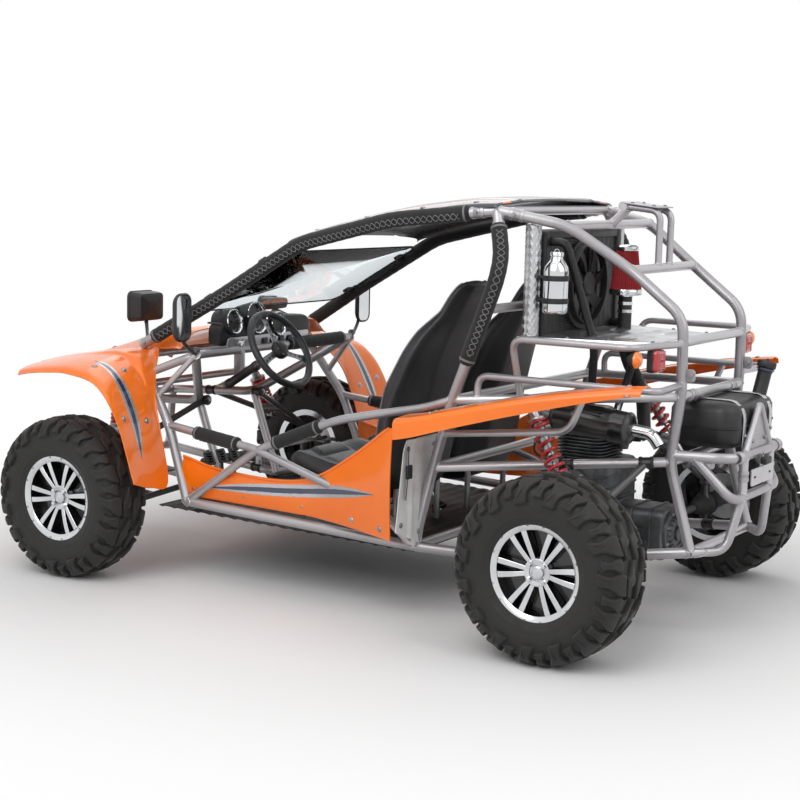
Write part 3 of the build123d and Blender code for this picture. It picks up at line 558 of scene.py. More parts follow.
@dataclass
class Skin:
    """Grids of points gathered into one piece of the scene.

    Attributes:
        name: the piece's name.
        finishes: its finishes; a grid names one by its number.
        body: the body that it rides on.
        points: the grids' points.
        quads: four point numbers for each face.
        marks: number of the finish of each face.
        count: points gathered so far.
    """

    name: str
    finishes: tuple[Finish, ...]
    body: str = CHASSIS
    points: list[np.ndarray] = field(default_factory=list)
    quads: list[np.ndarray] = field(default_factory=list)
    marks: list[np.ndarray] = field(default_factory=list)
    count: int = 0

    def grid(self, places: np.ndarray, around: bool = False, along: bool = False, finish: int = 0,
             rows: Sequence[int] | None = None) -> None:
        """Add a grid of points: point (i, j) is joined to (i + 1, j) and to (i, j + 1).

        Args:
            places: rows by columns by 3, with any number of leading axes for repeats.
            around: whether the last column joins the first.
            along: whether the last row joins the first.
            finish: number of the finish.
            rows: numbers of the finishes of the strips between rows, in place of one for all.
        """
        stack = places.reshape(-1, *places.shape[-3:])
        copies, high, wide = stack.shape[:3]
        row, column = np.meshgrid(np.arange(high if along else high - 1), np.arange(wide if around else wide - 1),
                                  indexing="ij")
        below, right = (row + 1) % high, (column + 1) % wide
        quads = np.stack([row * wide + column, row * wide + right, below * wide + right, below * wide + column],
                         axis=-1)
        start = self.count + np.arange(copies)[:, None, None, None] * (high * wide)
        self.quads.append((quads[None] + start).reshape(-1, 4))
        strips = np.broadcast_to(np.asarray(rows if rows is not None else finish), (quads.shape[0],))
        self.marks.append(np.broadcast_to(strips[None, :, None], (copies, *quads.shape[:2])).ravel())
        self.points.append(stack.reshape(-1, 3))
        self.count += copies * high * wide

    def tube(self, route: Sequence[Any], radius: float, corner: float = 0.06, steps: int = 14,
             finish: int = 0) -> np.ndarray:
        """Add a round tube along a bent route: the circle (r cos a, r sin a) carried along it, with flat ends.

        Args:
            route: points of the route.
            radius: outer radius.
            corner: length of a bend's cut on each run.
            steps: points round the tube.
            finish: number of the finish.

        Returns:
            The bent path.
        """
        path = eased(route, corner)
        self.grid(capped(carried(path, ring(radius, steps)), path[0], path[-1]), around=True, finish=finish)
        return path

    def spun(self, place: Place, profile: Sequence[Any], steps: int = 48, finish: int = 0,
             rows: Sequence[int] | None = None) -> None:
        """Add a turned form: the profile (r, z) gives (r cos a, r sin a, z) for a once round.

        Args:
            place: local frame; the turning axis is its normal.
            profile: radius and height of each point.
            steps: points round the form.
            finish: number of the finish.
            rows: numbers of the finishes between the profile's points.
        """
        points = np.asarray(profile, float)
        grid = polar(points[:, :1], angles(steps), points[:, 1:])
        self.grid(place.out(grid), around=True, finish=finish, rows=rows)

    def block(self, place: Place, outline: np.ndarray, depth: float, edge: float, finish: int = 0) -> None:
        """Add a plate with rounded edges: the outline moved inwards by e (1 - sin a) at height e (1 - cos a).

        Args:
            place: local frame; the plate rises along its normal.
            outline: closed outline that runs to the left.
            depth: thickness of the plate.
            edge: radius of its edges.
            finish: number of the finish.
        """
        turn = np.linspace(0, math.pi / 2, 4)
        depths = edge * (1 - np.sin(turn))
        levels = edge * (1 - np.cos(turn))
        rings = layered(outline, (*zip(depths, levels), *zip(depths[::-1], depth - levels[::-1])))
        middle = outline.mean(axis=0)
        self.grid(place.out(capped(np.stack(rings), (*middle, 0.0), (*middle, depth))), around=True, finish=finish)

    def build(self, sharp: float = 35.0, replaces: Iterable[str] = (), slot: str | None = None) -> bpy.types.Object:
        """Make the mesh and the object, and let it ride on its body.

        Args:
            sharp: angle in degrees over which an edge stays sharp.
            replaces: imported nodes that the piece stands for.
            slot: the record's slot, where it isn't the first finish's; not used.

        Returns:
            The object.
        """
        mesh = bpy.data.meshes.new(self.name)
        quads = np.concatenate(self.quads)
        points = np.concatenate(self.points)
        mesh.vertices.add(len(points))
        mesh.vertices.foreach_set("co", points.astype(np.float32).ravel())
        mesh.loops.add(quads.size)
        mesh.loops.foreach_set("vertex_index", quads.astype(np.int32).ravel())
        mesh.polygons.add(len(quads))
        mesh.polygons.foreach_set("loop_start", np.arange(0, quads.size, 4, dtype=np.int32))
        mesh.polygons.foreach_set("material_index", np.concatenate(self.marks).astype(np.int32))
        mesh.update(calc_edges=True)
        mesh.validate()
        shape = bmesh.new()
        shape.from_mesh(mesh)
        bmesh.ops.remove_doubles(shape, verts=shape.verts, dist=1e-6)
        bmesh.ops.recalc_face_normals(shape, faces=shape.faces)
        shape.to_mesh(mesh)
        shape.free()
        mesh.polygons.foreach_set("use_smooth", np.ones(len(mesh.polygons), dtype=bool))
        mesh.set_sharp_from_angle(angle=math.radians(sharp))
        for finish in self.finishes:
            mesh.materials.append(finish.material())
        piece = bpy.data.objects.new(self.name, mesh)
        bpy.context.scene.collection.objects.link(piece)
        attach(piece, self.body)
        names = list(replaces)
        if names:
            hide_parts(*names)
        LOG.info("%s: %d faces", self.name, len(mesh.polygons))
        return piece


# Welded tubes

def bolt(skin: Skin, at: np.ndarray, way: Sequence[float], size: float = 0.008, finish: int = 1) -> None:
    """Add a hexagon bolt head on a washer."""
    place = Place(at, (0.31, 0.52, 0.79), way)
    skin.spun(place, [(0.0, -0.001), (size * 1.25, -0.001), (size * 1.25, 0.0012), (size * 1.18, 0.0016),
                      (0.0, 0.0016)], steps=20, finish=finish)
    skin.spun(place, [(size * 0.97, 0.0012), (size * 0.97, size * 0.72), (size * 0.86, size * 0.82),
                      (0.0, size * 0.82)], steps=6, finish=finish)


@dataclass(frozen=True)
class Run:
    """One tube of the frame: its piece, bent path and radius."""

    piece: str
    path: np.ndarray
    radius: float


@dataclass
class TubeFrame:
    """Silver space frame, cage, guards and bumper, with bent tubes, weld beads, sleeves and bolts.

    Attributes:
        main: radius of the main tubes.
        cross: radius of the cross tubes.
        side: radius of the side bars.
        rail: radius of the small rails.
        bend: cut of the bends on each run.
        runs: tubes made so far.
        skins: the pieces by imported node.
    """

    main: float = 0.019
    cross: float = 0.017
    side: float = 0.016
    rail: float = 0.0125
    bend: float = 0.06
    runs: list[Run] = field(default_factory=list)
    skins: dict[str, Skin] = field(default_factory=dict)

    def skin(self, node: str) -> Skin:
        """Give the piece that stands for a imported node, made on the first call."""
        if node not in self.skins:
            self.skins[node] = Skin(f"tubes_{node}", (SILVER_COAT, BARE_STEEL))
        return self.skins[node]

    def add(self, node: str, route: Sequence[Any], radius: float, corner: float | None = None) -> np.ndarray:
        """Add a tube to a piece and keep its run for the welds.

        Args:
            node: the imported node.
            route: points of the route.
            radius: radius of the tube.
            corner: cut of its bends, where it isn't the usual one.

        Returns:
            The bent path.
        """
        path = self.skin(node).tube(route, radius, self.bend if corner is None else corner, 20)
        self.runs.append(Run(node, path, radius))
        return path

    def across(self, node: str, name: str, radius: float) -> None:
        """Add a straight cross tube between the left and the right of a joint."""
        self.add(node, (joint(name), joint(name, -1)), radius)

    def bead(self, run: Run, at: np.ndarray, way: np.ndarray, host_at: np.ndarray, host_way: np.ndarray,
             host: float) -> None:
        """Add the weld bead of a tube's end on a host tube.

        From each point of the tube's circle a ray goes along the tube, p + t w; the bead lies where
        |(p + t w - q) x h| = R, the host's surface, on the far root. Its section is a small ring.

        Args:
            run: the tube.
            at: middle of its end.
            way: direction from the end along the tube.
            host_at: a point on the host's axis.
            host_way: direction of the host.
            host: radius of the host.
        """
        turn = angles(32)
        outward = Place((0.0, 0.0, 0.0), np.cross(way, host_way), way).out(polar(1.0, turn, 0.0))
        circle = at + run.radius * outward
        slope = np.cross(way, host_way)
        miss = np.cross(circle - host_at, host_way)
        steep = max(float(slope @ slope), 0.05)
        lead = miss @ slope
        inside = np.maximum(lead ** 2 - steep * (np.sum(miss ** 2, axis=1) - host ** 2), 0.0)
        t = np.clip((-lead + np.sqrt(inside)) / steep, 0.0, 0.08)[:, None]
        small = angles(6)
        size = (0.0032 + 0.0005 * np.cos(turn * 11))[:, None, None]
        spread = np.cos(small)[None, :, None] * outward[:, None] + np.sin(small)[None, :, None] * way
        self.skin(run.piece).grid((circle + t * way)[:, None] + size * spread, around=True, along=True)

    def weld(self) -> None:
        """Add a bead at each tube's end that stands on another tube."""
        for run in self.runs:
            for end, inner in (run.path[:2], run.path[:-3:-1]):
                way = unit(inner - end)
                for other in self.runs:
                    if other is run or other.radius < run.radius - 1e-4:
                        continue
                    legs = np.diff(other.path, axis=0)
                    share = np.clip(np.sum((end - other.path[:-1]) * legs, axis=1) / np.sum(legs ** 2, axis=1), 0, 1)
                    feet = other.path[:-1] + share[:, None] * legs
                    gaps = np.linalg.norm(feet - end, axis=1)
                    near = int(gaps.argmin())
                    host_way = unit(legs[near])
                    if gaps[near] < 0.014 and abs(float(host_way @ way)) < 0.9:
                        self.bead(run, end, way, feet[near], host_way, other.radius)
                        break

    def sleeve(self, node: str, at: np.ndarray, way: np.ndarray, radius: float, length: float = 0.05) -> None:
        """Add a sleeve with rounded lips round a tube, where two lengths are joined."""
        half, grow = length / 2, radius + 0.0035
        self.skin(node).spun(Place(at, np.cross(way, (0.2, 0.9, 0.4)), way), [
            (radius - 0.002, -half), (grow - 0.001, -half), (grow, -half + 0.0012), (grow, -half + 0.012),
            (grow - 0.0016, -half + 0.014), (grow - 0.0016, half - 0.014), (grow, half - 0.012), (grow, half - 0.0012),
            (grow - 0.001, half), (radius - 0.002, half)], steps=28)

    def tab(self, node: str, at: np.ndarray, along: np.ndarray, out: np.ndarray, size: float = 0.045) -> None:
        """Add a bolted tab: a rounded plate that stands on a tube, with a bolt through it."""
        skin = self.skin(node)
        along, out = unit(along), unit(out)
        normal = np.cross(along, out)
        outline = rounded(size, size, size * 0.3)
        skin.block(Place(at + out * size * 0.6 - normal * 0.002, along, normal), outline, 0.004, 0.0008)
        middle = at + out * size * 0.72
        bolt(skin, middle + normal * 0.002, normal)
        bolt(skin, middle - normal * 0.002, -normal)

    def floor_and_front(self) -> None:
        """Build the floor rails, the front box, the scuttle uprights and the dash tube."""
        for side in SIDES:
            self.add("frame_lower", joints(("nose_low", "box_low", "sill_front"), side), self.main)
            self.add("frame_lower", joints(("sill_front", "sill_rear", "rail_mid", "rail_rear"), side), self.main)
            self.add("frame_front", joints(("nose_high", "box_high", "dash_end"), side), self.main)
            self.add("frame_front", joints(("nose_low", "nose_high"), side), self.cross)
            self.add("frame_front", joints(("box_low", "box_high"), side), self.cross)
            self.add("frame_front", joints(("sill_front", "upright_mid", "upright_top"), side), self.main)
            self.add("frame_front", joints(("tower", "upright_top"), side), self.rail)
            high, box = joint("nose_high", side), joint("box_high", side)
            self.add("frame_front", (joint("tower", side), between(high, box, 0.5)), self.rail)
            foot = between(joint("upright_mid", side), joint("upright_top", side), 0.4)
            self.add("frame_front", (joint("dash_end", side), foot), self.rail)
            self.tab("frame_front", between(high, box, 0.25), BACK, side * RIGHT)
        for name in ("nose_low", "sill_rear", "rail_mid", "rail_rear"):
            self.across("frame_lower", name, self.cross)
        for name, radius in (("upright_top", self.cross), ("tower", self.side), ("nose_high", self.cross)):
            self.across("frame_front", name, radius)
        route = np.concatenate([joints(("upright_dash", "dash_end")), joints(("dash_end", "upright_dash"), -1)])
        self.add("frame_front", route, self.cross)

    def cage(self) -> None:
        """Build the windscreen pillars, the roof rails, the hoops and the rear stays with their clamps."""
        for side in SIDES:
            self.add("roll_cage", joints(("pillar_foot", "pillar_low", "pillar_mid", "pillar_high", "hoop_top"), side),
                     self.main)
            self.add("roll_cage", joints(("hoop_top", "hoop_knee", "hoop_elbow", "hoop_waist", "hoop_foot", "mid_front",
                                          "sill_rear"), side), self.main)
            self.add("rear_cage", joints(("hoop_top", "rear_shoulder", "rear_knee", "rear_bend", "rear_corner",
                                          "rear_waist", "rail_rear"), side), self.main)
            self.add("rear_cage", joints(("hoop_foot", "rear_corner"), side), self.cross)
            self.add("rear_cage", joints(("mid_front", "rear_waist"), side), self.cross)
            foot, top = joint("pillar_foot", side), joint("hoop_top", side)
            outward = side * (self.main + 0.003) * RIGHT
            rise = unit(joint("pillar_low", side) - foot)
            self.sleeve("roll_cage", foot + rise * 0.035, rise, self.main, 0.09)
            for step in (0.015, 0.055):
                bolt(self.skin("roll_cage"), foot + rise * step + outward, side * RIGHT, 0.0075)
            for target in ("pillar_high", "hoop_knee", "rear_shoulder"):
                way = unit(joint(target, side) - top)
                self.sleeve("roll_cage", top + way * 0.07, way, self.main, 0.05)
                bolt(self.skin("roll_cage"), top + way * 0.07 + outward, side * RIGHT, 0.0075)
            bend, corner = joint("rear_bend", side), joint("rear_corner", side)
            self.tab("rear_cage", between(bend, corner, 0.72), corner - bend, BACK)
        for name in ("hoop_top", "hoop_waist", "hoop_foot", "mid_front"):
            self.across("roll_cage", name, self.cross)
        for name in ("rear_shoulder", "rear_knee", "rear_corner", "rear_waist"):
            self.across("rear_cage", name, self.cross)
        ends = [on_run("rear_bend", "rear_corner", 2, 0.7095 * CAGE_HEIGHT, side) for side in SIDES]
        self.add("rear_cage", ends, self.cross)
        corner = joint("rear_corner")
        for share in (0.16, 0.84):
            self.sleeve("rear_cage", between(corner, corner * (-1, 1, 1), share), RIGHT, self.cross)

    def sides(self) -> None:
        """Build the side bars and the two rows of guard rails beside the engine."""
        for side in SIDES:
            self.add("side_bars", joints(("upright_mid", "bar_cross", "bar_low", "sill_rear"), side), self.side)
            rising = ("sill_front", "bar_cross", "bar_rise", "bar_back", "hoop_foot")
            self.add("side_bars", joints(rising, side), self.side)
        for up, front, rear, across in ((1.84, -1.36, 0.8, 0.94), (2.29, -0.9, 0.52, 1.0)):
            x, z = 0.555 * across, AXLE_HEIGHT * (1 + up)
            start, end = (axle_y(False) + share * AXLE_HEIGHT for share in (front, rear))
            for side in SIDES:
                root = on_run("hoop_foot", "rear_corner", 1, start, side)
                anchor = on_run("rear_bend", "rear_corner", 2, z, side)
                self.add("guard_rails", (root, (side * x, start, z), (side * x, end, z), anchor), self.rail, 0.05)

    def bumper(self) -> None:
        """Build the rear bumper: two bent hoops, posts, a triangular plate between tubes and the tubes to the rails."""
        y, half, high, low, post = axle_y(False) + 0.42, 0.23, 0.655, 0.508, 0.13
        node = "rear_bumper"
        skin = self.skin(node)
        roots = [on_run("rear_corner", "rear_waist", 2, high, side) for side in SIDES]
        corners = [np.array((side * half, y, high)) for side in SIDES]
        self.add(node, (roots[0], corners[0], corners[1], roots[1]), self.main, 0.075)
        ends = [between(root, corner, 0.35) for root, corner in zip(roots, corners)]
        lows = [np.array((side * half, y, low)) for side in SIDES]
        self.add(node, (ends[0], lows[0], lows[1], ends[1]), self.cross, 0.06)
        apex = np.array((0.0, y, high + 0.172))
        feet = [np.array((side * post, y, high)) for side in SIDES]
        self.add(node, (feet[0], apex, feet[1]), self.rail, 0.02)
        plate = np.array([(-post, 0.0), (post, 0.0), (0.0, 0.172)])
        skin.block(Place((0.0, y + 0.002, high), RIGHT, -BACK), plate, 0.004, 0.0008)
        for side in SIDES:
            foot = np.array((side * post, y, low))
            self.add(node, (foot, (side * post, y, high)), self.side)
            rail = joint("rail_rear", side)
            knee = (side * (post + half) / 2, rail[1] + 0.09, rail[2])
            self.add(node, (rail, knee, foot), self.side, 0.05)
            self.sleeve(node, foot + (0.0, 0.0, 0.075), UP, self.side, 0.036)
            self.sleeve(node, np.array((side * 0.19, y, high)), RIGHT, self.main, 0.03)
            self.tab(node, between(roots[0], corners[0], 0.62) * (side, 1, 1), corners[0] - roots[0], -UP, 0.036)
            bolt(skin, np.array((side * 0.062, y + 0.002, high + 0.045)), BACK)

    def stays(self) -> None:
        """Build the rear fenders' stays and the raised hoop on the cage."""
        for side in SIDES:
            shares = ((0.95, 0.238, 0.464), (1.05, 0.492, 0.509), (1.05, 0.52, 0.605))
            run = [spot(*share, side=side) for share in shares]
            root = on_run("mid_front", "hoop_foot", 2, run[0][2], side)
            self.add("fender_stays", (root, *run[1:]), self.rail, 0.05)
        front, rear = joint("rear_shoulder", 0), joint("rear_knee", 0)
        top = np.array((0.0, between(front, rear, 0.35)[1], front[2] + 0.07))
        back = np.array((0.0, rear[1], front[2] + 0.056))
        self.add("rear_hoop", (front, top), self.side)
        self.add("rear_hoop", (top - (0.07, 0, 0), top + (0.07, 0, 0)), self.cross)
        for side in SIDES:
            step = side * 0.05 * RIGHT
            self.add("rear_hoop", (top + step, back + step, rear + step), self.rail, 0.04)
        lift = np.cross(RIGHT, unit(back - top))
        length = norm(back - top)
        lid = Place(between(top, back, 0.5) + lift * 0.0105, RIGHT, lift)
        self.skin("rear_hoop").block(lid, rounded(0.15, length, 0.016), 0.004, 0.001)
        for x in (-0.05, 0.05):
            for y in (-0.3, 0.3):
                bolt(self.skin("rear_hoop"), lid.out((x, y * length, 0.004)), lift, 0.006)

    def build(self) -> None:
        """Build the tubes, then their welds, then the pieces."""
        self.floor_and_front()
        self.cage()
        self.sides()
        self.bumper()
        self.stays()
        self.weld()
        for node, skin in self.skins.items():
            skin.build(replaces=() if node in ("fender_stays", "rear_hoop") else (node,))


@dataclass
class PlateBracket:
    """Bracket for a number plate: a strap, a slotted plate and a small lamp over it."""

    y: float = 1.4543
    z: float = 0.575

    def build(self) -> None:
        """Build the bracket with two slots with rolled lips, and its lamp."""
        skin = Skin("plate_flange", (SILVER_COAT, BLACK_ABS, BARE_STEEL, CLEAR_LENS))
        face = Place((0.0, self.y, self.z), -RIGHT, BACK)
        skin.block(face.moved((0.0, 0.04, -0.004)), rounded(0.036, 0.08, 0.003), 0.004, 0.0006)
        slot = rounded(0.024, 0.008, 0.0039, 6)
        outer = rounded(0.11, 0.06, 0.008, 6)
        for side in SIDES:
            hole, cell = slot + (side * 0.075, 0.0), outer + (side * 0.055, 0.0)
            steps = ((hole, 0.0), (cell, 0.0), (cell, 0.004), (hole, 0.004), (hole, 0.0))
            skin.grid(face.out(np.stack([at_height(loop, z) for loop, z in steps])), around=True)
        skin.block(face.moved((0.0, 0.052, 0.004)), rounded(0.06, 0.026, 0.008), 0.022, 0.004, finish=1)
        lens = Place((0.0, self.y + 0.014, self.z + 0.0395), RIGHT, -UP)
        skin.block(lens, rounded(0.04, 0.012, 0.004), 0.003, 0.001, 3)
        for side in SIDES:
            bolt(skin, np.array((side * 0.011, self.y, self.z + 0.073)), BACK, 0.0045, 2)
        skin.build()


# Wheels

@dataclass
class Tyre:
    """Off-road tyre: a bulged carcass with wrapped shoulder lugs and staggered middle lugs.

    Attributes:
        name: front or rear, and the side.
        width: over the sidewalls.
        radius: to the tips of the lugs.
        lug: height of the lugs.
        bead: radius of the bead.
        count: lugs in each row.
    """

    name: str
    width: float
    radius: float = 0.3175
    lug: float = 0.016
    bead: float = 0.158
    count: int = 15

    def section(self) -> np.ndarray:
        """Give half the carcass, from the crown's middle to the bead, as radius and place across."""
        half = self.width / 2
        crown = self.radius - self.lug
        return np.array([
            (crown, 0.0), (crown - 0.0005, 0.3 * half), (crown - 0.003, 0.58 * half), (crown - 0.01, 0.76 * half),
            (crown - 0.024, 0.9 * half), (crown - 0.045, 0.975 * half), (crown - 0.072, 1.0 * half),
            (crown - 0.098, 0.985 * half), (crown - 0.118, 0.94 * half), (self.bead + 0.01, 0.885 * half),
            (self.bead, 0.84 * half), (self.bead, 0.7 * half)])

    def wrapped(self, out: np.ndarray, turn: np.ndarray, height: np.ndarray) -> np.ndarray:
        """Lay points on the carcass.

        A point goes out across by a length along the section, round by an angle, and up along the
        section's normal by a height.

        Args:
            out: signed length from the crown's middle along the section.
            turn: angle round the axle.
            height: height over the carcass.

        Returns:
            Points of a wheel that stands at the origin, with its axle along x.
        """
        section = self.section()
        reach = run_lengths(section)
        fine = np.linspace(0, reach[-1], 160)
        radius, across = (np.interp(fine, reach, section[:, k]) for k in (0, 1))
        blur = np.ones(11) / 11
        radius[5:-5], across[5:-5] = (np.convolve(v, blur, "valid") for v in (radius, across))
        lean = unit(np.stack([np.gradient(across), -np.gradient(radius)], axis=1))
        far = np.abs(out)
        r, x, up, side = (np.interp(far, fine, v) for v in (radius, across, lean[:, 0], lean[:, 1]))
        r = r + height * up
        x = np.sign(out) * (x + height * side)
        return np.stack([x, r * np.cos(turn), r * np.sin(turn)], axis=-1)

    def lugs(self, outline: np.ndarray, phase: float, height: float) -> np.ndarray:
        """Give one row of lugs: the outline drawn in by steps while it rises, closed by a crowned top.

        Args:
            outline: the lug's outline as length out across and length round, at the crown's radius.
            phase: turn of the row, as a share of the pitch.
            height: height of the lugs.

        Returns:
            Grids, one for each lug.
        """
        steps = ((0.0, -0.003), (0.0, 0.25 * height), (0.0014, 0.75 * height), (0.0024, 0.93 * height),
                 (0.0046, height), (0.009, height))
        crown = np.broadcast_to((*outline.mean(axis=0), height), (len(outline), 3))
        grid = np.stack([*layered(outline, steps), crown])
        turns = angles(self.count, phase)
        round_turn = grid[None, ..., 1] / (self.radius - self.lug) + turns[:, None, None]
        shape = round_turn.shape
        return self.wrapped(np.broadcast_to(grid[None, ..., 0], shape), round_turn,
                            np.broadcast_to(grid[None, ..., 2], shape))

    def bent_block(self, inner: float, outer: float, thick: float, lean: float, hook: float) -> np.ndarray:
        """Give the outline of a slanted lug with a hooked inner end.

        Args:
            inner: start across, signed.
            outer: end across, signed the same way.
            thick: width round the tyre.
            lean: how far the outer end lies round from the inner one.
            hook: extra width of the inner end.

        Returns:
            A closed outline, run to the left.
        """
        step = np.linspace(0, 1, 9)
        out = inner + (outer - inner) * step
        line = lean * step ** 1.3
        half = thick / 2 * (1 + 0.25 * np.sin(step * math.pi * 2.3)) + hook / 2 * (1 - step) ** 3
        upper = np.column_stack([out, line + half])
        lower = np.column_stack([out, line - half])
        loop = np.concatenate([lower, upper[::-1]])
        return loop if outer > inner else loop[::-1]

    def build(self, body: str, centre: np.ndarray, side: float) -> None:
        """Build the tyre round its axle.

        Args:
            body: the wheel's body.
            centre: middle of the wheel.
            side: one on the left, minus one on the right.
        """
        skin = Skin(f"tyre_skin_{self.name}", (TYRE_RUBBER,), body)
        total = run_lengths(self.section())[-1]
        out = np.concatenate([-np.linspace(total, 0, 46)[:-1], np.linspace(0, total, 46)])
        turn = angles(96)
        rib = 0.0022 * hump(np.abs(out), total * 0.8, 0.0032) + 0.0018 * hump(np.abs(out), total * 0.7, 0.0022)
        shape = (len(out), len(turn))
        skin.grid(self.wrapped(np.broadcast_to(out[:, None], shape), np.broadcast_to(turn, shape),
                               np.broadcast_to(rib[:, None], shape)), around=True)
        half = self.width / 2
        pitch = TAU * (self.radius - self.lug) / self.count
        for sign, shift in ((1.0, 0.0), (-1.0, 0.5)):
            long_lug = self.bent_block(sign * 0.52 * half, sign * 1.28 * half, pitch * 0.4, sign * pitch * 0.22, 0.018)
            short_lug = self.bent_block(sign * 0.6 * half, sign * 1.12 * half, pitch * 0.26, sign * pitch * 0.1, 0.008)
            middle = self.bent_block(sign * 0.05 * half, sign * 0.46 * half, pitch * 0.46, -sign * pitch * 0.42, 0.01)
            skin.grid(self.lugs(long_lug, shift, self.lug), around=True)
            skin.grid(self.lugs(short_lug, shift + 0.52, self.lug * 0.94), around=True)
            skin.grid(self.lugs(middle, shift + 0.3, self.lug), around=True)
        skin.points = [points * (side, 1.0, 1.0) + centre for points in skin.points]
        skin.build(replaces=(f"tyre_{self.name}",), sharp=50.0)


@dataclass
class Rim:
    """Machined wheel: twelve spokes in six split pairs over a black dish, with lip marks, nuts and a cap.

    Attributes:
        name: front or rear, and the side.
        width: over the tyre's sidewalls.
        lip: outer radius of the lip.
        seat: radius of the bead seat.
        hub: radius of the hub's face.
    """

    name: str
    width: float
    lip: float = 0.1747
    seat: float = 0.15
    hub: float = 0.047

    def face(self, radius: np.ndarray) -> np.ndarray:
        """Give the depth of the spokes' face: bead minus a dish that grows with the square of 1 - r / R."""
        return self.width * 0.4 - 0.004 - 0.022 * (1 - np.clip(radius / self.seat, 0, 1)) ** 2

    def spoke(self, start: float, end: float, tilt: float, near: float, far: float) -> np.ndarray:
        """Give a spoke's outline: a strip from near the hub to the lip, leaning by an angle.

        Args:
            start: angle of the spoke's middle line at the hub.
            end: the same at the lip.
            tilt: extra turn of both ends, for the split pairs.
            near: half width at the hub.
            far: half width at the lip.

        Returns:
            Radius, angle and side of the points, as rows of the strip.
        """
        step = np.linspace(0, 1, 12)
        radius = self.hub * 0.93 + (self.seat - 0.004 - self.hub * 0.93) * step
        middle = start + (end - start) * step + tilt
        half = (near + (far - near) * step) / radius
        return np.stack([radius, middle, half], axis=1)

    def build(self, body: str, centre: np.ndarray, side: float) -> None:
        """Build the rim round its axle.

        Args:
            body: the wheel's body.
            centre: middle of the wheel.
            side: one on the left, minus one on the right.
        """
        bright = Skin(f"rim_skin_{self.name}", (MACHINED, GLOSS_BLACK, CHROME, BARE_STEEL), body)
        axle = Place((0.0, 0.0, 0.0), BACK, RIGHT)
        bead = self.width * 0.4
        bright.spun(axle, [
            (self.seat - 0.008, -bead - 0.008), (self.lip - 0.002, -bead - 0.009), (self.lip, -bead - 0.004),
            (self.lip - 0.004, -bead), (self.seat + 0.004, -bead + 0.003), (self.seat, -bead + 0.01),
            (self.seat - 0.012, -0.02), (self.seat, bead - 0.012), (self.seat + 0.003, bead - 0.003),
            (self.lip - 0.003, bead + 0.001), (self.lip, bead + 0.005), (self.lip - 0.003, bead + 0.009),
            (self.lip - 0.01, bead + 0.0075), (self.seat + 0.002, bead + 0.004), (self.seat - 0.006, bead - 0.002),
            (self.seat - 0.008, bead - 0.014), (self.seat - 0.014, bead - 0.04), (self.seat - 0.018, -0.02),
            (self.seat - 0.008, -bead - 0.008)],
            steps=96, rows=[0, 0, 0, 1, 1, 1, 1, 1, 1, 0, 0, 0, 0, 0, 1, 1, 1, 1])
        dish = np.linspace(0.03, self.seat - 0.01, 9)
        depth = self.face(dish) - 0.03 - 0.012 * (dish / self.seat)
        bright.spun(axle, [*zip(dish, depth), *zip(dish[::-1], depth[::-1] - 0.006), (dish[0], depth[0])], finish=1)
        for turn in angles(6):
            for lean in (-1.0, 1.0):
                self.raised(bright, self.spoke(lean * 0.2, lean * 0.17, turn, 0.0078, 0.0105))
        bright.spun(axle, [(0.0, self.face(0.0) - 0.03), (self.hub, self.face(self.hub) - 0.03),
                           (self.hub + 0.002, self.face(self.hub) - 0.004), (self.hub, self.face(self.hub) + 0.001),
                           (self.hub - 0.003, self.face(self.hub) + 0.002), (0.03, self.face(0.03) + 0.002),
                           (0.029, self.face(0.03) - 0.002), (0.0, self.face(0.03) - 0.002)], steps=64)
        cap = self.face(0.0) + 0.001
        bright.spun(axle, [(0.0, cap - 0.005), (0.0235, cap - 0.005), (0.0245, cap + 0.01), (0.0225, cap + 0.014),
                           (0.017, cap + 0.016), (0.016, cap + 0.0145), (0.008, cap + 0.0155), (0.0, cap + 0.016)],
                    rows=[1, 0, 0, 0, 0, 0, 0])
        for turn in angles(4, 0.5):
            nut = Place((self.face(0.036) - 0.002, *(0.0365 * heading(turn))), BACK, RIGHT)
            bright.spun(nut, [(0.0095, 0.0), (0.0095, 0.008), (0.008, 0.017), (0.0, 0.019)], steps=6, finish=2)
        for turn in [middle + lean * 0.34 for middle in angles(6) for lean in (-1.0, 1.0)]:
            dimple = Place((bead + 0.0062, *((self.seat + 0.0125) * heading(turn))), BACK, RIGHT)
            bright.spun(dimple, [(0.0042, 0.0), (0.0042, 0.0014), (0.0028, 0.0016), (0.0022, 0.0), (0.0, -0.0004)],
                        steps=14, finish=1)
        bright.spun(axle, [(0.035, bead - 0.066), (0.095, bead - 0.066), (0.095, bead - 0.061), (0.035, bead - 0.061),
                           (0.035, bead - 0.066)], finish=3)
        bright.points = [points * (side, 1.0, 1.0) + centre for points in bright.points]
        bright.build(replaces=(f"rim_{self.name}",), sharp=32.0)

    def raised(self, skin: Skin, strip: np.ndarray) -> None:
        """Add one spoke: a bright crowned top over dark sides that widen towards the dish.

        Args:
            skin: the rim's skin.
            strip: radius, angle and half width in angle of each row.
        """
        radius, middle, half = strip.T
        top = self.face(radius)
        rows = []
        for side, lift in ((-1.35, -0.034), (-1.06, -0.004), (-0.98, -0.0008), (-0.86, 0.0), (0.86, 0.0),
                           (0.98, -0.0008), (1.06, -0.004), (1.35, -0.034)):
            angle = middle + side * half
            rows.append(np.stack([top + lift, radius * np.cos(angle), radius * np.sin(angle)], axis=1))
        grid = np.stack(rows)
        ends = [np.broadcast_to(grid[:, k].mean(axis=0), (len(grid), 1, 3)) for k in (0, -1)]
        skin.grid(np.concatenate([ends[0], grid, ends[1]], axis=1), along=True, rows=[1, 1, 0, 0, 0, 1, 1, 1])


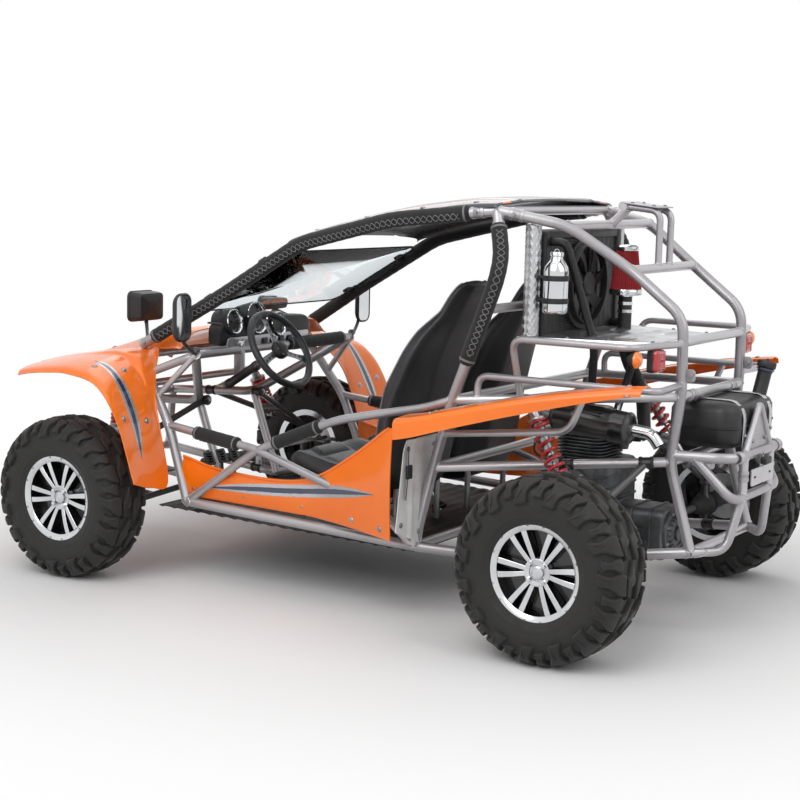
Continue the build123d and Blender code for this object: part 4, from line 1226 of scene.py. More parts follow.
@dataclass
class Wheels:
    """The four wheels.

    Attributes:
        rows: axle, place across and width of the tyre.
    """

    rows: tuple[tuple[str, float, float], ...] = (("front", 0.845, 0.211), ("rear", 0.775, 0.255))

    def build(self) -> None:
        """Build the tyres and the rims on their bodies."""
        for axle, across, width in self.rows:
            for side in SIDES:
                name = f"{axle}_{hand(side)}"
                centre = np.array((side * across, axle_y(axle == "front"), AXLE_HEIGHT))
                Tyre(name, width).build(f"wheel_{name}", centre, side)
                Rim(name, width).build(f"wheel_{name}", centre, side)


# Body panels

def face_normals(face: np.ndarray) -> np.ndarray:
    """Give the unit normals of a grid: the cross product of its directions down and across."""
    return unit(np.cross(np.gradient(face, axis=0), np.gradient(face, axis=1)))


def facing(face: np.ndarray, way: Sequence[float]) -> np.ndarray:
    """Turn a grid's columns round where its normals point away from a direction."""
    return face if float((face_normals(face).mean(axis=(0, 1))) @ np.asarray(way, float)) > 0 else face[:, ::-1]


def closed_sheet(skin: Skin, face: np.ndarray, thick: float, finish: int = 0) -> None:
    """Add a sheet of one wall as a closed skin: the face, its back along the face's normal, and the rim between.

    Args:
        skin: the skin that takes it.
        face: grid of points, whose normals point out.
        thick: wall.
        finish: number of the finish.
    """
    back = face - face_normals(face) * thick
    skin.grid(face, finish=finish)
    skin.grid(back[:, ::-1], finish=finish)
    rims = [np.concatenate([g[0, :-1], g[:-1, -1], g[-1, :0:-1], g[:0:-1, 0]]) for g in (face, back)]
    skin.grid(np.stack(rims), around=True, finish=finish)


def surface(knots: np.ndarray, rows: int, columns: int) -> np.ndarray:
    """Give a smooth surface through a net of points: cubic curves along each row, then along each column.

    Between the points P1 and P2, with neighbours P0 and P3, the curve is
    (2 P1 + (P2 - P0) t + (2 P0 - 5 P1 + 4 P2 - P3) t^2 + (3 P1 - P0 - 3 P2 + P3) t^3) / 2.

    Args:
        knots: net of points, A by B by 3.
        rows: points down the finished surface.
        columns: points across it.

    Returns:
        A grid rows by columns by 3.
    """
    def curve(points: np.ndarray, count: int) -> np.ndarray:
        ends = [2 * points[:1] - points[1:2], 2 * points[-1:] - points[-2:-1]]
        line = np.concatenate([ends[0], points, ends[1]])
        place = np.linspace(0, len(points) - 1, count)
        start = np.minimum(place.astype(int), len(points) - 2)
        t = (place - start).reshape(-1, *([1] * (points.ndim - 1)))
        p0, p1, p2, p3 = (line[start + k] for k in range(4))
        return (2 * p1 + (p2 - p0) * t + (2 * p0 - 5 * p1 + 4 * p2 - p3) * t ** 2
                + (3 * p1 - p0 - 3 * p2 + p3) * t ** 3) / 2

    down = curve(np.asarray(knots, float), rows)
    return np.swapaxes(curve(np.swapaxes(down, 0, 1), columns), 0, 1)


@dataclass
class Bodywork:
    """Orange panels, the white splash panels, the roof, the windscreen and the floor.

    Attributes:
        thick: wall of the moulded sheets.
    """

    thick: float = 0.004

    def button(self, skin: Skin, at: np.ndarray, way: Sequence[float], size: float = 0.009, finish: int = 1) -> None:
        """Add a domed bolt on a panel: a washer under half an ellipse."""
        place = Place(at, (0.31, 0.52, 0.79), way)
        turn = np.linspace(0, math.pi / 2, 5)
        dome = [(size * math.cos(a), 0.0012 + size * 0.45 * math.sin(a)) for a in turn]
        skin.spun(place, [(0.0, -0.001), (size * 1.4, -0.001), (size * 1.4, 0.001), (size, 0.0012), *dome[1:]],
                  steps=18, finish=finish)

    def front_fender(self, side: float) -> None:
        """Build a front fender: a crowned top over the tyre that turns down into a long flank before the door.

        The net runs from the inner edge beside the hood to the outer lip; each column is a side view's curve.
        """
        name = hand(side)
        columns = (
            (0.52, ((-0.705, 0.541), (-0.66, 0.556), (-0.6, 0.571), (-0.54, 0.584), (-0.478, 0.596), (-0.44, 0.603),
                     (-0.42, 0.6))),
            (0.655, ((-0.668, 0.546), (-0.63, 0.558), (-0.58, 0.572), (-0.53, 0.584), (-0.46, 0.596), (-0.41, 0.57),
                     (-0.372, 0.48))),
            (0.7, ((-0.65, 0.548), (-0.615, 0.559), (-0.565, 0.572), (-0.505, 0.582), (-0.43, 0.575), (-0.37, 0.47),
                     (-0.322, 0.27))),
            (0.815, ((-0.625, 0.548), (-0.59, 0.558), (-0.545, 0.568), (-0.49, 0.574), (-0.42, 0.56), (-0.362, 0.45),
                     (-0.314, 0.262))),
            (0.905, ((-0.605, 0.543), (-0.575, 0.552), (-0.53, 0.56), (-0.475, 0.563), (-0.405, 0.54), (-0.352, 0.445),
                     (-0.308, 0.278))),
            (0.935, ((-0.598, 0.532), (-0.57, 0.54), (-0.526, 0.547), (-0.472, 0.549), (-0.4, 0.526), (-0.348, 0.438),
                     (-0.306, 0.284))),
        )
        net = np.array([[(side * x, a * WHEELBASE + SHIFT, u * CAGE_HEIGHT) for a, u in curve] for x, curve in columns])
        skin = Skin(f"fender_shell_front_{name}", (ORANGE_GEL, BARE_STEEL, SILVER_ABS, BLUE_PAINT))
        face = facing(surface(net, 40, 44), (side * 0.3, -0.2, 1.0))
        closed_sheet(skin, face, self.thick)
        for x, y, z in ((0.85, -0.941, 0.826), (0.75, -0.856, 0.85), (0.88, -0.755, 0.64), (0.75, -0.72, 0.64)):
            self.button(skin, self.on(face, np.array((side * x, y, z))), self.normal(face, np.array((side * x, y, z))))
        start, end = np.array((side * 0.8, -0.975, 0.84)), np.array((side * 0.835, -0.69, 0.5))
        self.spear(skin, face, start, end, 0.03, 2, 3)
        skin.build(replaces=(f"front_fender_{name}",), sharp=50)

    def on(self, face: np.ndarray, at: np.ndarray) -> np.ndarray:
        """Give the face's nearest point."""
        flat = face.reshape(-1, 3)
        return flat[np.linalg.norm(flat - at, axis=1).argmin()]

    def normal(self, face: np.ndarray, at: np.ndarray) -> np.ndarray:
        """Give the face's outward normal at its point nearest to a place."""
        normals = face_normals(face).reshape(-1, 3)
        return normals[np.linalg.norm(face.reshape(-1, 3) - at, axis=1).argmin()]

    def spear(self, skin: Skin, face: np.ndarray, start: np.ndarray, end: np.ndarray, half: float, outer: int,
              inner: int) -> None:
        """Add a pointed stripe on a face: a pale band with a dark core, each 0.5 mm over what lies under it.

        The half width along the stripe is h (1 - |2 s - 1|^2.2) for s from 0 to 1. Each point is laid on the face by
        the mean of its four nearest points and their normals, weighted by the inverse of their squared distance.

        Args:
            skin: the skin that takes it.
            face: the panel's face.
            start: first tip, near the face.
            end: second tip.
            half: greatest half width.
            outer: finish of the band.
            inner: finish of the core.
        """
        flat = face.reshape(-1, 3)
        normals = face_normals(face).reshape(-1, 3)
        step = np.linspace(0.002, 0.998, 60)
        mean = normals[np.linalg.norm(flat - (start + end) / 2, axis=1).argmin()]
        way = unit(np.cross(mean, end - start))
        line = start + (end - start) * step[:, None]
        for share, lift, finish in ((1.0, 0.001, outer), (0.42, 0.0016, inner)):
            width = half * share * (1 - np.abs(2 * step - 1) ** 2.2)
            spread = np.linspace(-1, 1, 9)
            places = line[:, None] + (width[:, None] * spread)[..., None] * way
            gaps = np.linalg.norm(places[:, :, None] - flat, axis=-1)
            near = np.argpartition(gaps, 4, axis=-1)[..., :4]
            weight = 1 / (np.take_along_axis(gaps, near, -1) ** 2 + 1e-9)
            weight /= weight.sum(axis=-1, keepdims=True)
            ground = (flat[near] * weight[..., None]).sum(axis=-2)
            lean = unit((normals[near] * weight[..., None]).sum(axis=-2))
            reach = np.sum((places - ground) * lean, axis=-1, keepdims=True)
            top = places - lean * reach + lean * lift
            closed_sheet(skin, facing(top, mean), 0.0022, finish)

    def hood(self) -> None:
        """Build the hood: a broad crowned middle with sloping sides and a turned-down nose, vents and bolts."""
        rows = (
            (-0.712, 0.5, 0.512, 0.46), (-0.705, 0.53, 0.543, 0.49), (-0.69, 0.537, 0.552, 0.51),
            (-0.64, 0.551, 0.57, 0.58), (-0.56, 0.57, 0.601, 0.71), (-0.48, 0.59, 0.634, 0.84),
            (-0.425, 0.599, 0.647, 0.86), (-0.385, 0.605, 0.655, 0.86), (-0.372, 0.603, 0.652, 0.855))
        spread = np.array((-1.0, -0.97, -0.92, -0.84, -0.74, -0.5, 0.0, 0.5, 0.74, 0.84, 0.92, 0.97, 1.0))
        rise = np.array((0.0, 0.06, 0.35, 0.78, 0.93, 1.0, 1.04, 1.0, 0.93, 0.78, 0.35, 0.06, 0.0))
        net = np.array([[(s * half * FRAME_HALF, a * WHEELBASE + SHIFT, (low + (high - low) * r) * CAGE_HEIGHT)
                         for s, r in zip(spread, rise)] for a, low, high, half in rows])
        skin = Skin("hood_shell", (ORANGE_GEL, BARE_STEEL, BLACK_ABS, SILVER_ABS, BLUE_PAINT))
        face = facing(surface(net, 56, 72), UP)
        closed_sheet(skin, face, self.thick)
        for side in SIDES:
            for x, y in ((0.44, -0.82), (0.44, -1.0), (0.3, -1.36), (0.25, -0.82)):
                at = self.on(face, np.array((side * x, y, 0.92)))
                self.button(skin, at, self.normal(face, at))
        skin.build(replaces=("hood",), sharp=50)

    def tub(self, side: float) -> None:
        """Build a side panel of the tub with its rolled top edge, bolts and stripe.

        The plan runs straight along the sill and bows out behind the seat; the top edge dips for the door.
        """
        name = hand(side)
        along = np.linspace(-0.318, 0.196, 60)
        across = 0.6192 + np.where(along > -0.03, 0.155 * np.clip((along + 0.03) / 0.226, 0, 1) ** 1.35, 0.0)
        low = 0.218 + 0.004 * np.cos((along + 0.3) * 6)
        top = np.interp(along, (-0.318, -0.29, -0.24, -0.17, -0.1, -0.04, 0.014, 0.08, 0.14, 0.196),
                        (0.33, 0.318, 0.304, 0.2975, 0.296, 0.304, 0.334, 0.388, 0.44, 0.496))
        top = smoothed(top, 3)
        level = np.concatenate([[-0.004, 0.0], np.linspace(0.02, 0.985, 18), [1.0]])
        bulge = np.concatenate([[-0.01, -0.003], 0.01 * np.sin(np.linspace(0.02, 0.985, 18) * math.pi), [0.0]])
        z = (low[:, None] + (top - low)[:, None] * level) * CAGE_HEIGHT
        x = side * (across[:, None] + bulge)
        y = np.broadcast_to(along[:, None] * WHEELBASE + SHIFT, z.shape)
        face = facing(np.stack([x, y, z], axis=-1), side * RIGHT)
        skin = Skin(f"tub_shell_{name}", (ORANGE_GEL, BARE_STEEL, SILVER_ABS, BLUE_PAINT))
        closed_sheet(skin, face, self.thick)
        edge = np.stack([side * across, along * WHEELBASE + SHIFT, top * CAGE_HEIGHT + 0.002], axis=1)
        skin.tube(edge[::2], 0.0055, 0.0, 12)
        for share in (0.06, 0.3, 0.55, 0.8, 0.95):
            row = int(share * 59)
            at = np.array((side * (across[row] + 0.004), along[row] * WHEELBASE + SHIFT,
                           low[row] * CAGE_HEIGHT + 0.035))
            self.button(skin, at, side * RIGHT, 0.008)
        self.spear(skin, face, np.array((side * 0.632, -0.56, 0.375)), np.array((side * 0.75, 0.3, 0.47)), 0.03, 2, 3)
        skin.build(replaces=(f"tub_{name}",), sharp=50)

    def rear_fender(self, side: float) -> None:
        """Build a rear fender: a tapering top with a rounded outer lip and a grey stripe."""
        name = hand(side)
        along = np.linspace(0.196, 0.622, 40)
        crest = np.interp(along, (0.196, 0.3, 0.43, 0.53, 0.622), (0.505, 0.543, 0.586, 0.61, 0.628))
        crest = smoothed(crest, 4)
        outer = np.interp(along, (0.196, 0.622), (1.29, 1.11)) * FRAME_HALF
        inner = np.full_like(along, 0.97 * FRAME_HALF)
        drop = np.interp(along, (0.196, 0.43, 0.622), (0.05, 0.036, 0.016)) * CAGE_HEIGHT
        turn = np.linspace(0, math.pi / 2, 8)
        radius = 0.022
        width = outer - radius - inner
        steps = np.linspace(0, 1, 12)
        x = np.concatenate([inner[:, None] + width[:, None] * steps,
                            (outer - radius)[:, None] + radius * np.sin(turn[1:]),
                            np.repeat(outer[:, None], 5, axis=1)], axis=1)
        sag = 0.006 * np.sin(steps * math.pi)
        fall = np.linspace(0.2, 1, 5)
        z = np.concatenate([np.repeat((crest * CAGE_HEIGHT)[:, None], 12, axis=1) + sag,
                            (crest * CAGE_HEIGHT)[:, None] - radius * (1 - np.cos(turn[1:])),
                            (crest * CAGE_HEIGHT - radius)[:, None] - (drop - radius).clip(0.003)[:, None] * fall],
                           axis=1)
        y = np.broadcast_to((along * WHEELBASE + SHIFT)[:, None], x.shape)
        face = facing(np.stack([side * x, y, z], axis=-1), UP)
        skin = Skin(f"fender_shell_rear_{name}", (ORANGE_GEL, BARE_STEEL, SILVER_ABS, BLUE_PAINT))
        closed_sheet(skin, face, self.thick)
        self.spear(skin, face, np.array((side * 0.665, 0.5, 0.825)), np.array((side * 0.625, 1.12, 0.915)), 0.026, 2, 3)
        for x_at, y_at in ((0.62, 0.45), (0.72, 0.47), (0.61, 1.2), (0.65, 1.22)):
            at = self.on(face, np.array((side * x_at, y_at, 0.9)))
            self.button(skin, at, (0.0, -0.2, 1.0), 0.008)
        skin.build(replaces=(f"rear_fender_{name}",), sharp=50)

    def splash(self) -> None:
        """Build the white splash panels with ribs, a black strap and its latch."""
        skin = Skin("splash_shells", (WHITE_ABS, BLACK_ABS, BARE_STEEL))
        y = joint("sill_rear")[1] + 0.023
        for side in SIDES:
            corners = np.array([(0.78, 0.455), (1.19, 0.455), (1.27, 0.235), (0.98, 0.19)]) * (FRAME_HALF, CAGE_HEIGHT)
            u = np.linspace(0, 1, 22)[None, :, None]
            v = np.linspace(0, 1, 22)[:, None, None]
            flat = (corners[3] * (1 - u) + corners[2] * u) * (1 - v) + (corners[0] * (1 - u) + corners[1] * u) * v
            rib = 0.006 * hump(flat[..., 0], 0.665, 0.012) + 0.01 * np.clip((v[..., 0] - 0.85) / 0.15, 0, 1) ** 2
            face = np.stack([side * flat[..., 0], y + rib, flat[..., 1]], axis=-1)
            closed_sheet(skin, facing(face, BACK), 0.003)
            strap = [(side * 0.7, y + 0.008, 0.65), (side * 0.705, y + 0.012, 0.56), (side * 0.715, y + 0.01, 0.46)]
            path = divided(eased(strap, 0.03), 0.01)
            band = np.array([(-0.011, -0.0012), (0.011, -0.0012), (0.011, 0.0012), (-0.011, 0.0012)])
            skin.grid(carried(path, band[:, ::-1]), around=True, finish=1)
            skin.block(Place((side * 0.705, y + 0.01, 0.56), RIGHT, BACK), rounded(0.034, 0.05, 0.006), 0.01, 0.003, 1)
            for x, z in ((0.52, 0.64), (0.69, 0.64), (0.73, 0.37), (0.61, 0.33)):
                self.button(skin, np.array((side * x, y + 0.002, z)), BACK, 0.007, 2)
        skin.build(replaces=("splash_panels",), sharp=50)

    def roof(self) -> None:
        """Build the roof: a crowned sheet with rolled edges, a dark front part, two orange side stripes and ribs."""
        rows = ((-0.134, 0.898, 0.915), (-0.13, 0.905, 0.925), (-0.11, 0.916, 0.938), (-0.04, 0.944, 0.968),
                (0.03, 0.966, 0.992), (0.1, 0.984, 1.012), (0.172, 0.999, 1.026), (0.235, 1.012, 1.034),
                (0.295, 1.018, 1.032), (0.305, 1.014, 1.026))
        half = 0.478
        spread = np.array((-1.0, -0.99, -0.965, -0.9, -0.75, -0.5, 0.0, 0.5, 0.75, 0.9, 0.965, 0.99, 1.0))
        lift = np.array((-0.55, -0.1, 0.12, 0.3, 0.55, 0.82, 1.0, 0.82, 0.55, 0.3, 0.12, -0.1, -0.55))
        net = np.array([[(s * half, a * WHEELBASE + SHIFT, (low + (high - low) * r) * CAGE_HEIGHT)
                         for s, r in zip(spread, lift)] for a, low, high in rows])
        face = surface(net, 60, 84)
        face[..., 2] += 0.005 * hump(np.abs(face[..., 0]), 0.3, 0.01) - 0.003 * hump(face[..., 1], 0.05, 0.006)
        skin = Skin("roof_shell", (ROOF_GREY, ROOF_DARK, ORANGE_ROOF, BARE_STEEL))
        front = facing(face, UP)
        closed_sheet(skin, front, self.thick)
        marks = skin.marks[0].reshape(59, 83)
        centre = (front[:-1, :-1] + front[1:, 1:]) / 2
        painted = np.where(centre[..., 1] < 0.045, 1, marks)
        painted = np.where(np.abs(np.abs(centre[..., 0]) - 0.395) < 0.03, 2, painted)
        skin.marks[0] = painted.ravel()
        for side in SIDES:
            for y in (-0.22, 0.02, 0.28, 0.52):
                at = self.on(face, np.array((side * 0.44, y, 1.5)))
                self.button(skin, at, UP, 0.009, 3)
        skin.build(replaces=("roof_panel",), sharp=55)

    def screen(self) -> None:
        """Build the windscreen: a bowed clear sheet with a rounded outline, a black edge and four clips."""
        low, high = (np.array((a * WHEELBASE + SHIFT, u * CAGE_HEIGHT)) for a, u in ((-0.34, 0.705), (-0.135, 0.875)))
        half, length = 0.48, norm(high - low)
        way = np.array((0.0, *(high - low) / length))
        place = Place((0.0, *((low + high) / 2)), RIGHT, np.cross(RIGHT, way))
        outline = rounded(2 * half, length, 0.05, 8)
        clear = Skin("windscreen_sheet", (CLEAR_SHEET,))
        clear.block(place, outline, 0.003, 0.0009)
        clear.build(replaces=("windscreen",))
        trim = Skin("windscreen_clips", (BLACK_ABS, BARE_STEEL))
        route = place.out(at_height(outline, 0.0015))
        ways = unit(np.roll(route, -1, axis=0) - np.roll(route, 1, axis=0))
        normal = place.turned(UP)
        sides = np.cross(ways, normal)
        section = rounded(0.008, 0.009, 0.0035, 3)
        trim.grid(route[:, None] + section[:, :1] * sides[:, None] + section[:, 1:] * normal, around=True, along=True)
        for side in SIDES:
            for share in (-0.3, 0.32):
                clip = place.moved((side * (half - 0.012), share * length, -0.006))
                trim.block(clip, rounded(0.07, 0.036, 0.01), 0.016, 0.004)
                self.button(trim, clip.out((-side * 0.014, 0.0, 0.016)), normal, 0.006, 1)
                loop = place.out((side * (half + 0.026), share * length, 0.0))
                trim.spun(Place(loop, RIGHT, way), [(0.0215, -0.016), (0.0245, -0.014), (0.0245, 0.014),
                                                    (0.0215, 0.016), (0.02, 0.0), (0.0215, -0.016)], steps=28)
        trim.build()

    def floor(self) -> None:
        """Build the ribbed floor pan."""
        front, rear = joint("box_low"), joint("sill_rear")
        u = np.linspace(0, 1, 80)
        y = front[1] + (rear[1] - front[1]) * u
        z = front[2] - 0.019 + (rear[2] - front[2]) * u
        rib = 0.004 * np.clip(np.sin(u * 40 * math.pi), 0, 1)
        x = np.linspace(-0.597, 0.597, 30)
        middle = np.exp(-(x / 0.12) ** 4)
        face = np.stack(np.broadcast_arrays(x[None, :], y[:, None], z[:, None] - rib[:, None] * (1 - middle)), axis=-1)
        skin = Skin("floor_sheet", (BLACK_ABS,))
        closed_sheet(skin, facing(face, UP), 0.003)
        skin.build(replaces=("floor_pan",))

    def build(self) -> None:
        """Build every panel."""
        for side in SIDES:
            self.front_fender(side)
            self.tub(side)
            self.rear_fender(side)
        self.hood()
        self.splash()
        self.roof()
        self.screen()
        self.floor()


# Cabin

def seam_cord(skin: Skin, path: np.ndarray, radius: float, finish: int) -> None:
    """Add piping: a round cord carried along a path, with a twist in its relief of 6 % every 4 mm."""
    fine = divided(path, 0.004)
    swell = 1 + 0.06 * np.cos(np.arange(len(fine)) * math.pi)
    skin.grid(carried(fine, ring(radius, 8)[None] * swell[:, None, None]), around=True, finish=finish)


@dataclass
class FoamCovers:
    """Padded covers on the cage and side bars: fabric over foam, laced along one side and bound at the ends.

    Attributes:
        wall: thickness of the foam.
        pitch: distance between the lacing's crossings.
    """

    wall: float = 0.0095
    pitch: float = 0.045

    def cover(self, skin: Skin, path: np.ndarray, tube: float, lace: np.ndarray | None) -> None:
        """Add one cover.

        At length s and angle a its radius is r + w - 0.6 mm |sin(pi s / pitch)| - 2.2 mm exp(-(a / 0.16)^2), so the
        cloth is drawn in by each turn of the lace and along the seam; it closes on the tube at both ends.

        Args:
            skin: the skin that takes it.
            path: the tube's path.
            tube: radius of the tube.
            lace: direction that the seam faces, or none for a cover with bound ends only.
        """
        fine = divided(path, 0.009)
        length = run_lengths(fine)
        steps = 24
        turn = angles(steps)
        away = np.minimum(turn, TAU - turn)
        pull = 0.0022 * hump(away, 0.0, 0.16) if lace is not None else np.zeros(steps)
        draw = 0.0007 * np.abs(np.sin(math.pi * length / self.pitch)) ** 6
        end = np.clip(np.minimum(length, length[-1] - length) / 0.012, 0, 1)
        radius = tube + 0.0004 + (self.wall - pull[None, :] - draw[:, None]) * np.sqrt(1 - (1 - end[:, None]) ** 2)
        ways = unit(np.gradient(fine, axis=0))
        seam = np.asarray(lace if lace is not None else UP, float)
        first = unit(seam - ways * (ways @ seam)[:, None])
        second = np.cross(ways, first)
        around = first[:, None] * np.cos(turn)[:, None] + second[:, None] * np.sin(turn)[:, None]
        skin.grid(fine[:, None] + around * radius[..., None], around=True)
        for k in (2, -3):
            place = Place(fine[k], first[k], ways[k])
            r = tube + self.wall
            skin.spun(place, [(r - 0.002, -0.004), (r + 0.001, -0.0036), (r + 0.0014, 0.0), (r + 0.001, 0.0036),
                              (r - 0.002, 0.004)], steps=24, finish=1)
        if lace is None:
            return
        marks = np.arange(0.035, length[-1] - 0.035, 0.0045)
        at, side_a, side_b = (sampled(marks, length, rows) for rows in (fine, first, second))
        for phase in (0.0, math.pi):
            swing = 0.42 * np.sin(marks * TAU / self.pitch + phase)
            lift = tube + self.wall + 0.0008 - 0.0011 * hump(swing, 0.0, 0.16)
            cord = at + (side_a * np.cos(swing)[:, None] + side_b * np.sin(swing)[:, None]) * lift[:, None]
            skin.grid(carried(cord, ring(0.0016, 6)), around=True, finish=1)

    def build(self) -> None:
        """Build the covers of the pillars, hoops, side bars and dash bar."""
        cage = Skin("cage_covers", (BLACK_FOAM, CORD_GREY))
        for side in SIDES:
            pillar = joints(("pillar_foot", "pillar_low", "pillar_mid", "pillar_high", "hoop_top"), side)
            pillar[0] = between(pillar[0], pillar[1], 0.12)
            pillar[-1] = between(pillar[-2], pillar[-1], 0.75)
            hoop = joints(("hoop_top", "hoop_knee", "hoop_elbow", "hoop_waist", "hoop_foot"), side)
            hoop[0] = between(hoop[0], hoop[1], 0.3)
            hoop[-1] = between(hoop[-2], hoop[-1], 0.6)
            self.cover(cage, eased(pillar, 0.06), 0.019, np.array((side, 0.1, -0.4)))
            self.cover(cage, eased(hoop, 0.06), 0.019, np.array((side, 0.6, 0.0)))
        cage.build(replaces=("cage_padding",), sharp=60)
        bars = Skin("bar_covers", (BLACK_FOAM, CORD_GREY))
        for side in SIDES:
            cross, rise, mid = joint("bar_cross", side), joint("bar_rise", side), joint("upright_mid", side)
            self.cover(bars, np.stack([between(cross, rise, 0.2), between(cross, rise, 0.8)]), 0.016, -UP)
            self.cover(bars, np.stack([between(mid, cross, 0.3), between(mid, cross, 0.8)]), 0.016, -UP)
        left, right = joint("dash_end"), joint("dash_end", -1)
        dash = np.stack([between(left, right, 0.55), between(left, right, 0.93)])
        self.cover(bars, dash, 0.017, np.array((0.0, -0.3, -1.0)))
        bars.build(replaces=("bar_padding",), sharp=60)


@dataclass
class Seat:
    """Moulded bucket seat: a shell with crowned bolsters, sewn panels, piping and belt slots.

    Attributes:
        across: middle of the seat.
        width: over the bolsters.
    """

    across: float = 0.27
    width: float = 0.46

    def build(self, side: float) -> None:
        """Build one seat.

        Along the spine, from the front of the cushion to the head, the padding's front face lies at
        p(s) + b(u, s) n(s): the side view's line p, its normal n, and b the bolster, which rises with |u| by a smooth
        step, is crowned in the middle of each panel and pressed in by 5 mm at each seam.

        Args:
            side: one on the left, minus one on the right.
        """
        name = hand(side)
        spine = np.array([(-0.112, 0.352), (-0.095, 0.345), (-0.06, 0.325), (-0.02, 0.305), (0.02, 0.295),
                          (0.06, 0.3), (0.092, 0.335), (0.108, 0.4), (0.12, 0.48), (0.136, 0.56),
                          (0.154, 0.64), (0.172, 0.71), (0.192, 0.77), (0.207, 0.805), (0.216, 0.818)])
        count, wide = 120, 73
        side_view = surface(spine[:, None, :].repeat(2, axis=1), count, 2)[:, 0]
        y = side_view[:, 0] * WHEELBASE + SHIFT
        z = side_view[:, 1] * CAGE_HEIGHT
        way = unit(np.stack([np.gradient(y), np.gradient(z)], axis=1))
        normal = np.stack([-way[:, 1], way[:, 0]], axis=1)
        s = np.linspace(0, 1, count)
        half = np.interp(s, (0, 0.05, 0.25, 0.42, 0.62, 0.74, 0.8, 0.9, 0.96, 1.0),
                         (0.195, 0.215, 0.23, 0.228, 0.23, 0.205, 0.128, 0.112, 0.096, 0.066))
        half = smoothed(half, 5)
        bolster = np.interp(s, (0, 0.08, 0.25, 0.4, 0.62, 0.76, 0.82, 1.0),
                            (0.01, 0.03, 0.075, 0.07, 0.095, 0.055, 0.018, 0.01))
        u = np.linspace(-1, 1, wide)
        step = np.clip((np.abs(u) - 0.5) / 0.42, 0, 1)
        rise = step ** 2 * (3 - 2 * step)
        droop = np.clip((np.abs(u) - 0.9) / 0.1, 0, 1) ** 2
        seam = hump(np.abs(u), 0.52, 0.018)
        rows_at = np.array((0.1, 0.22, 0.34, 0.5, 0.58, 0.66, 0.79))
        cross = hump(s[:, None], rows_at, 0.0055).max(axis=1)
        panel = np.interp(s, np.concatenate([[0.0], rows_at, [1.0]]), np.arange(9))
        pad = 0.012 * np.abs(np.sin(panel * math.pi)) ** 0.6
        inner = 1 - np.clip((np.abs(u) - 0.4) / 0.1, 0, 1)
        height = (bolster[:, None] * (rise - 0.55 * droop) + pad[:, None] * inner + 0.01 * (1 - step) * (1 - u ** 2)
                  - 0.0055 * seam - 0.005 * cross[:, None] * inner)
        x = side * self.across + half[:, None] * u
        front = np.stack([x, y[:, None] + normal[:, :1] * height, z[:, None] + normal[:, 1:] * height], axis=-1)
        depth = np.interp(s, (0, 0.1, 0.3, 0.42, 0.55, 0.75, 0.9, 1.0),
                          (0.05, 0.075, 0.065, 0.08, 0.06, 0.045, 0.035, 0.02))
        swell = depth[:, None] * (1 - 0.35 * np.abs(u) ** 3) - bolster[:, None] * rise * 0.55
        back = np.stack([x, y[:, None] - normal[:, :1] * swell, z[:, None] - normal[:, 1:] * swell], axis=-1)
        rounds = ((0.15, 0.7), (0.5, 1.0), (0.85, 0.7))
        bulge = [between(front[:, -1:], back[:, -1:], t) + k * 0.016 * RIGHT for t, k in rounds]
        other = [between(back[:, :1], front[:, :1], t) - k * 0.016 * RIGHT for t, k in rounds]
        loop = np.concatenate([front, *bulge, back[:, ::-1], *other], axis=1)
        ends = [np.repeat(loop[k].mean(axis=0)[None, None], loop.shape[1], axis=1) for k in (0, -1)]
        half_ends = [loop[k:k + 1] + (ends[k] - loop[k]) * 0.5 + np.array((0.0, *(n * 0.01))) for k, n in
                     ((0, -way[0]), (-1, way[-1]))]
        skin = Skin(f"seat_cover_{name}", (BLACK_VINYL, GREY_VINYL, BARE_STEEL))
        skin.grid(np.concatenate([ends[0], half_ends[0], loop, half_ends[1], ends[1]]), around=True)
        for column in (int(wide * 0.235), int(wide * 0.765)):
            lift = front[2:-2, column] + np.concatenate([np.zeros((count - 4, 1)), normal[2:-2] * 0.0015], axis=1)
            seam_cord(skin, lift, 0.003, 1)
        for column in (2, wide - 3):
            lift = front[4:-4, column] + np.concatenate([np.zeros((count - 8, 1)), normal[4:-4] * 0.001], axis=1)
            seam_cord(skin, lift, 0.0032, 1)
        row = int(0.7 * count)
        for turn in (-1.0, 1.0):
            eye = Place(front[row, wide // 2] + (turn * 0.085, *(normal[row] * 0.001)), RIGHT, (0.0, *normal[row]))
            skin.block(eye, rounded(0.056, 0.022, 0.01), 0.004, 0.002, 1)
        for along in (-0.105, 0.1):
            for turn in (-1.0, 1.0):
                foot = np.array((side * self.across + turn * 0.15, along * WHEELBASE + SHIFT, 0.27))
                skin.tube((foot, foot + (0.0, 0.0, 0.16)), 0.012, 0.0, 12, 2)
        skin.build(replaces=(f"seat_{name}",), sharp=70)


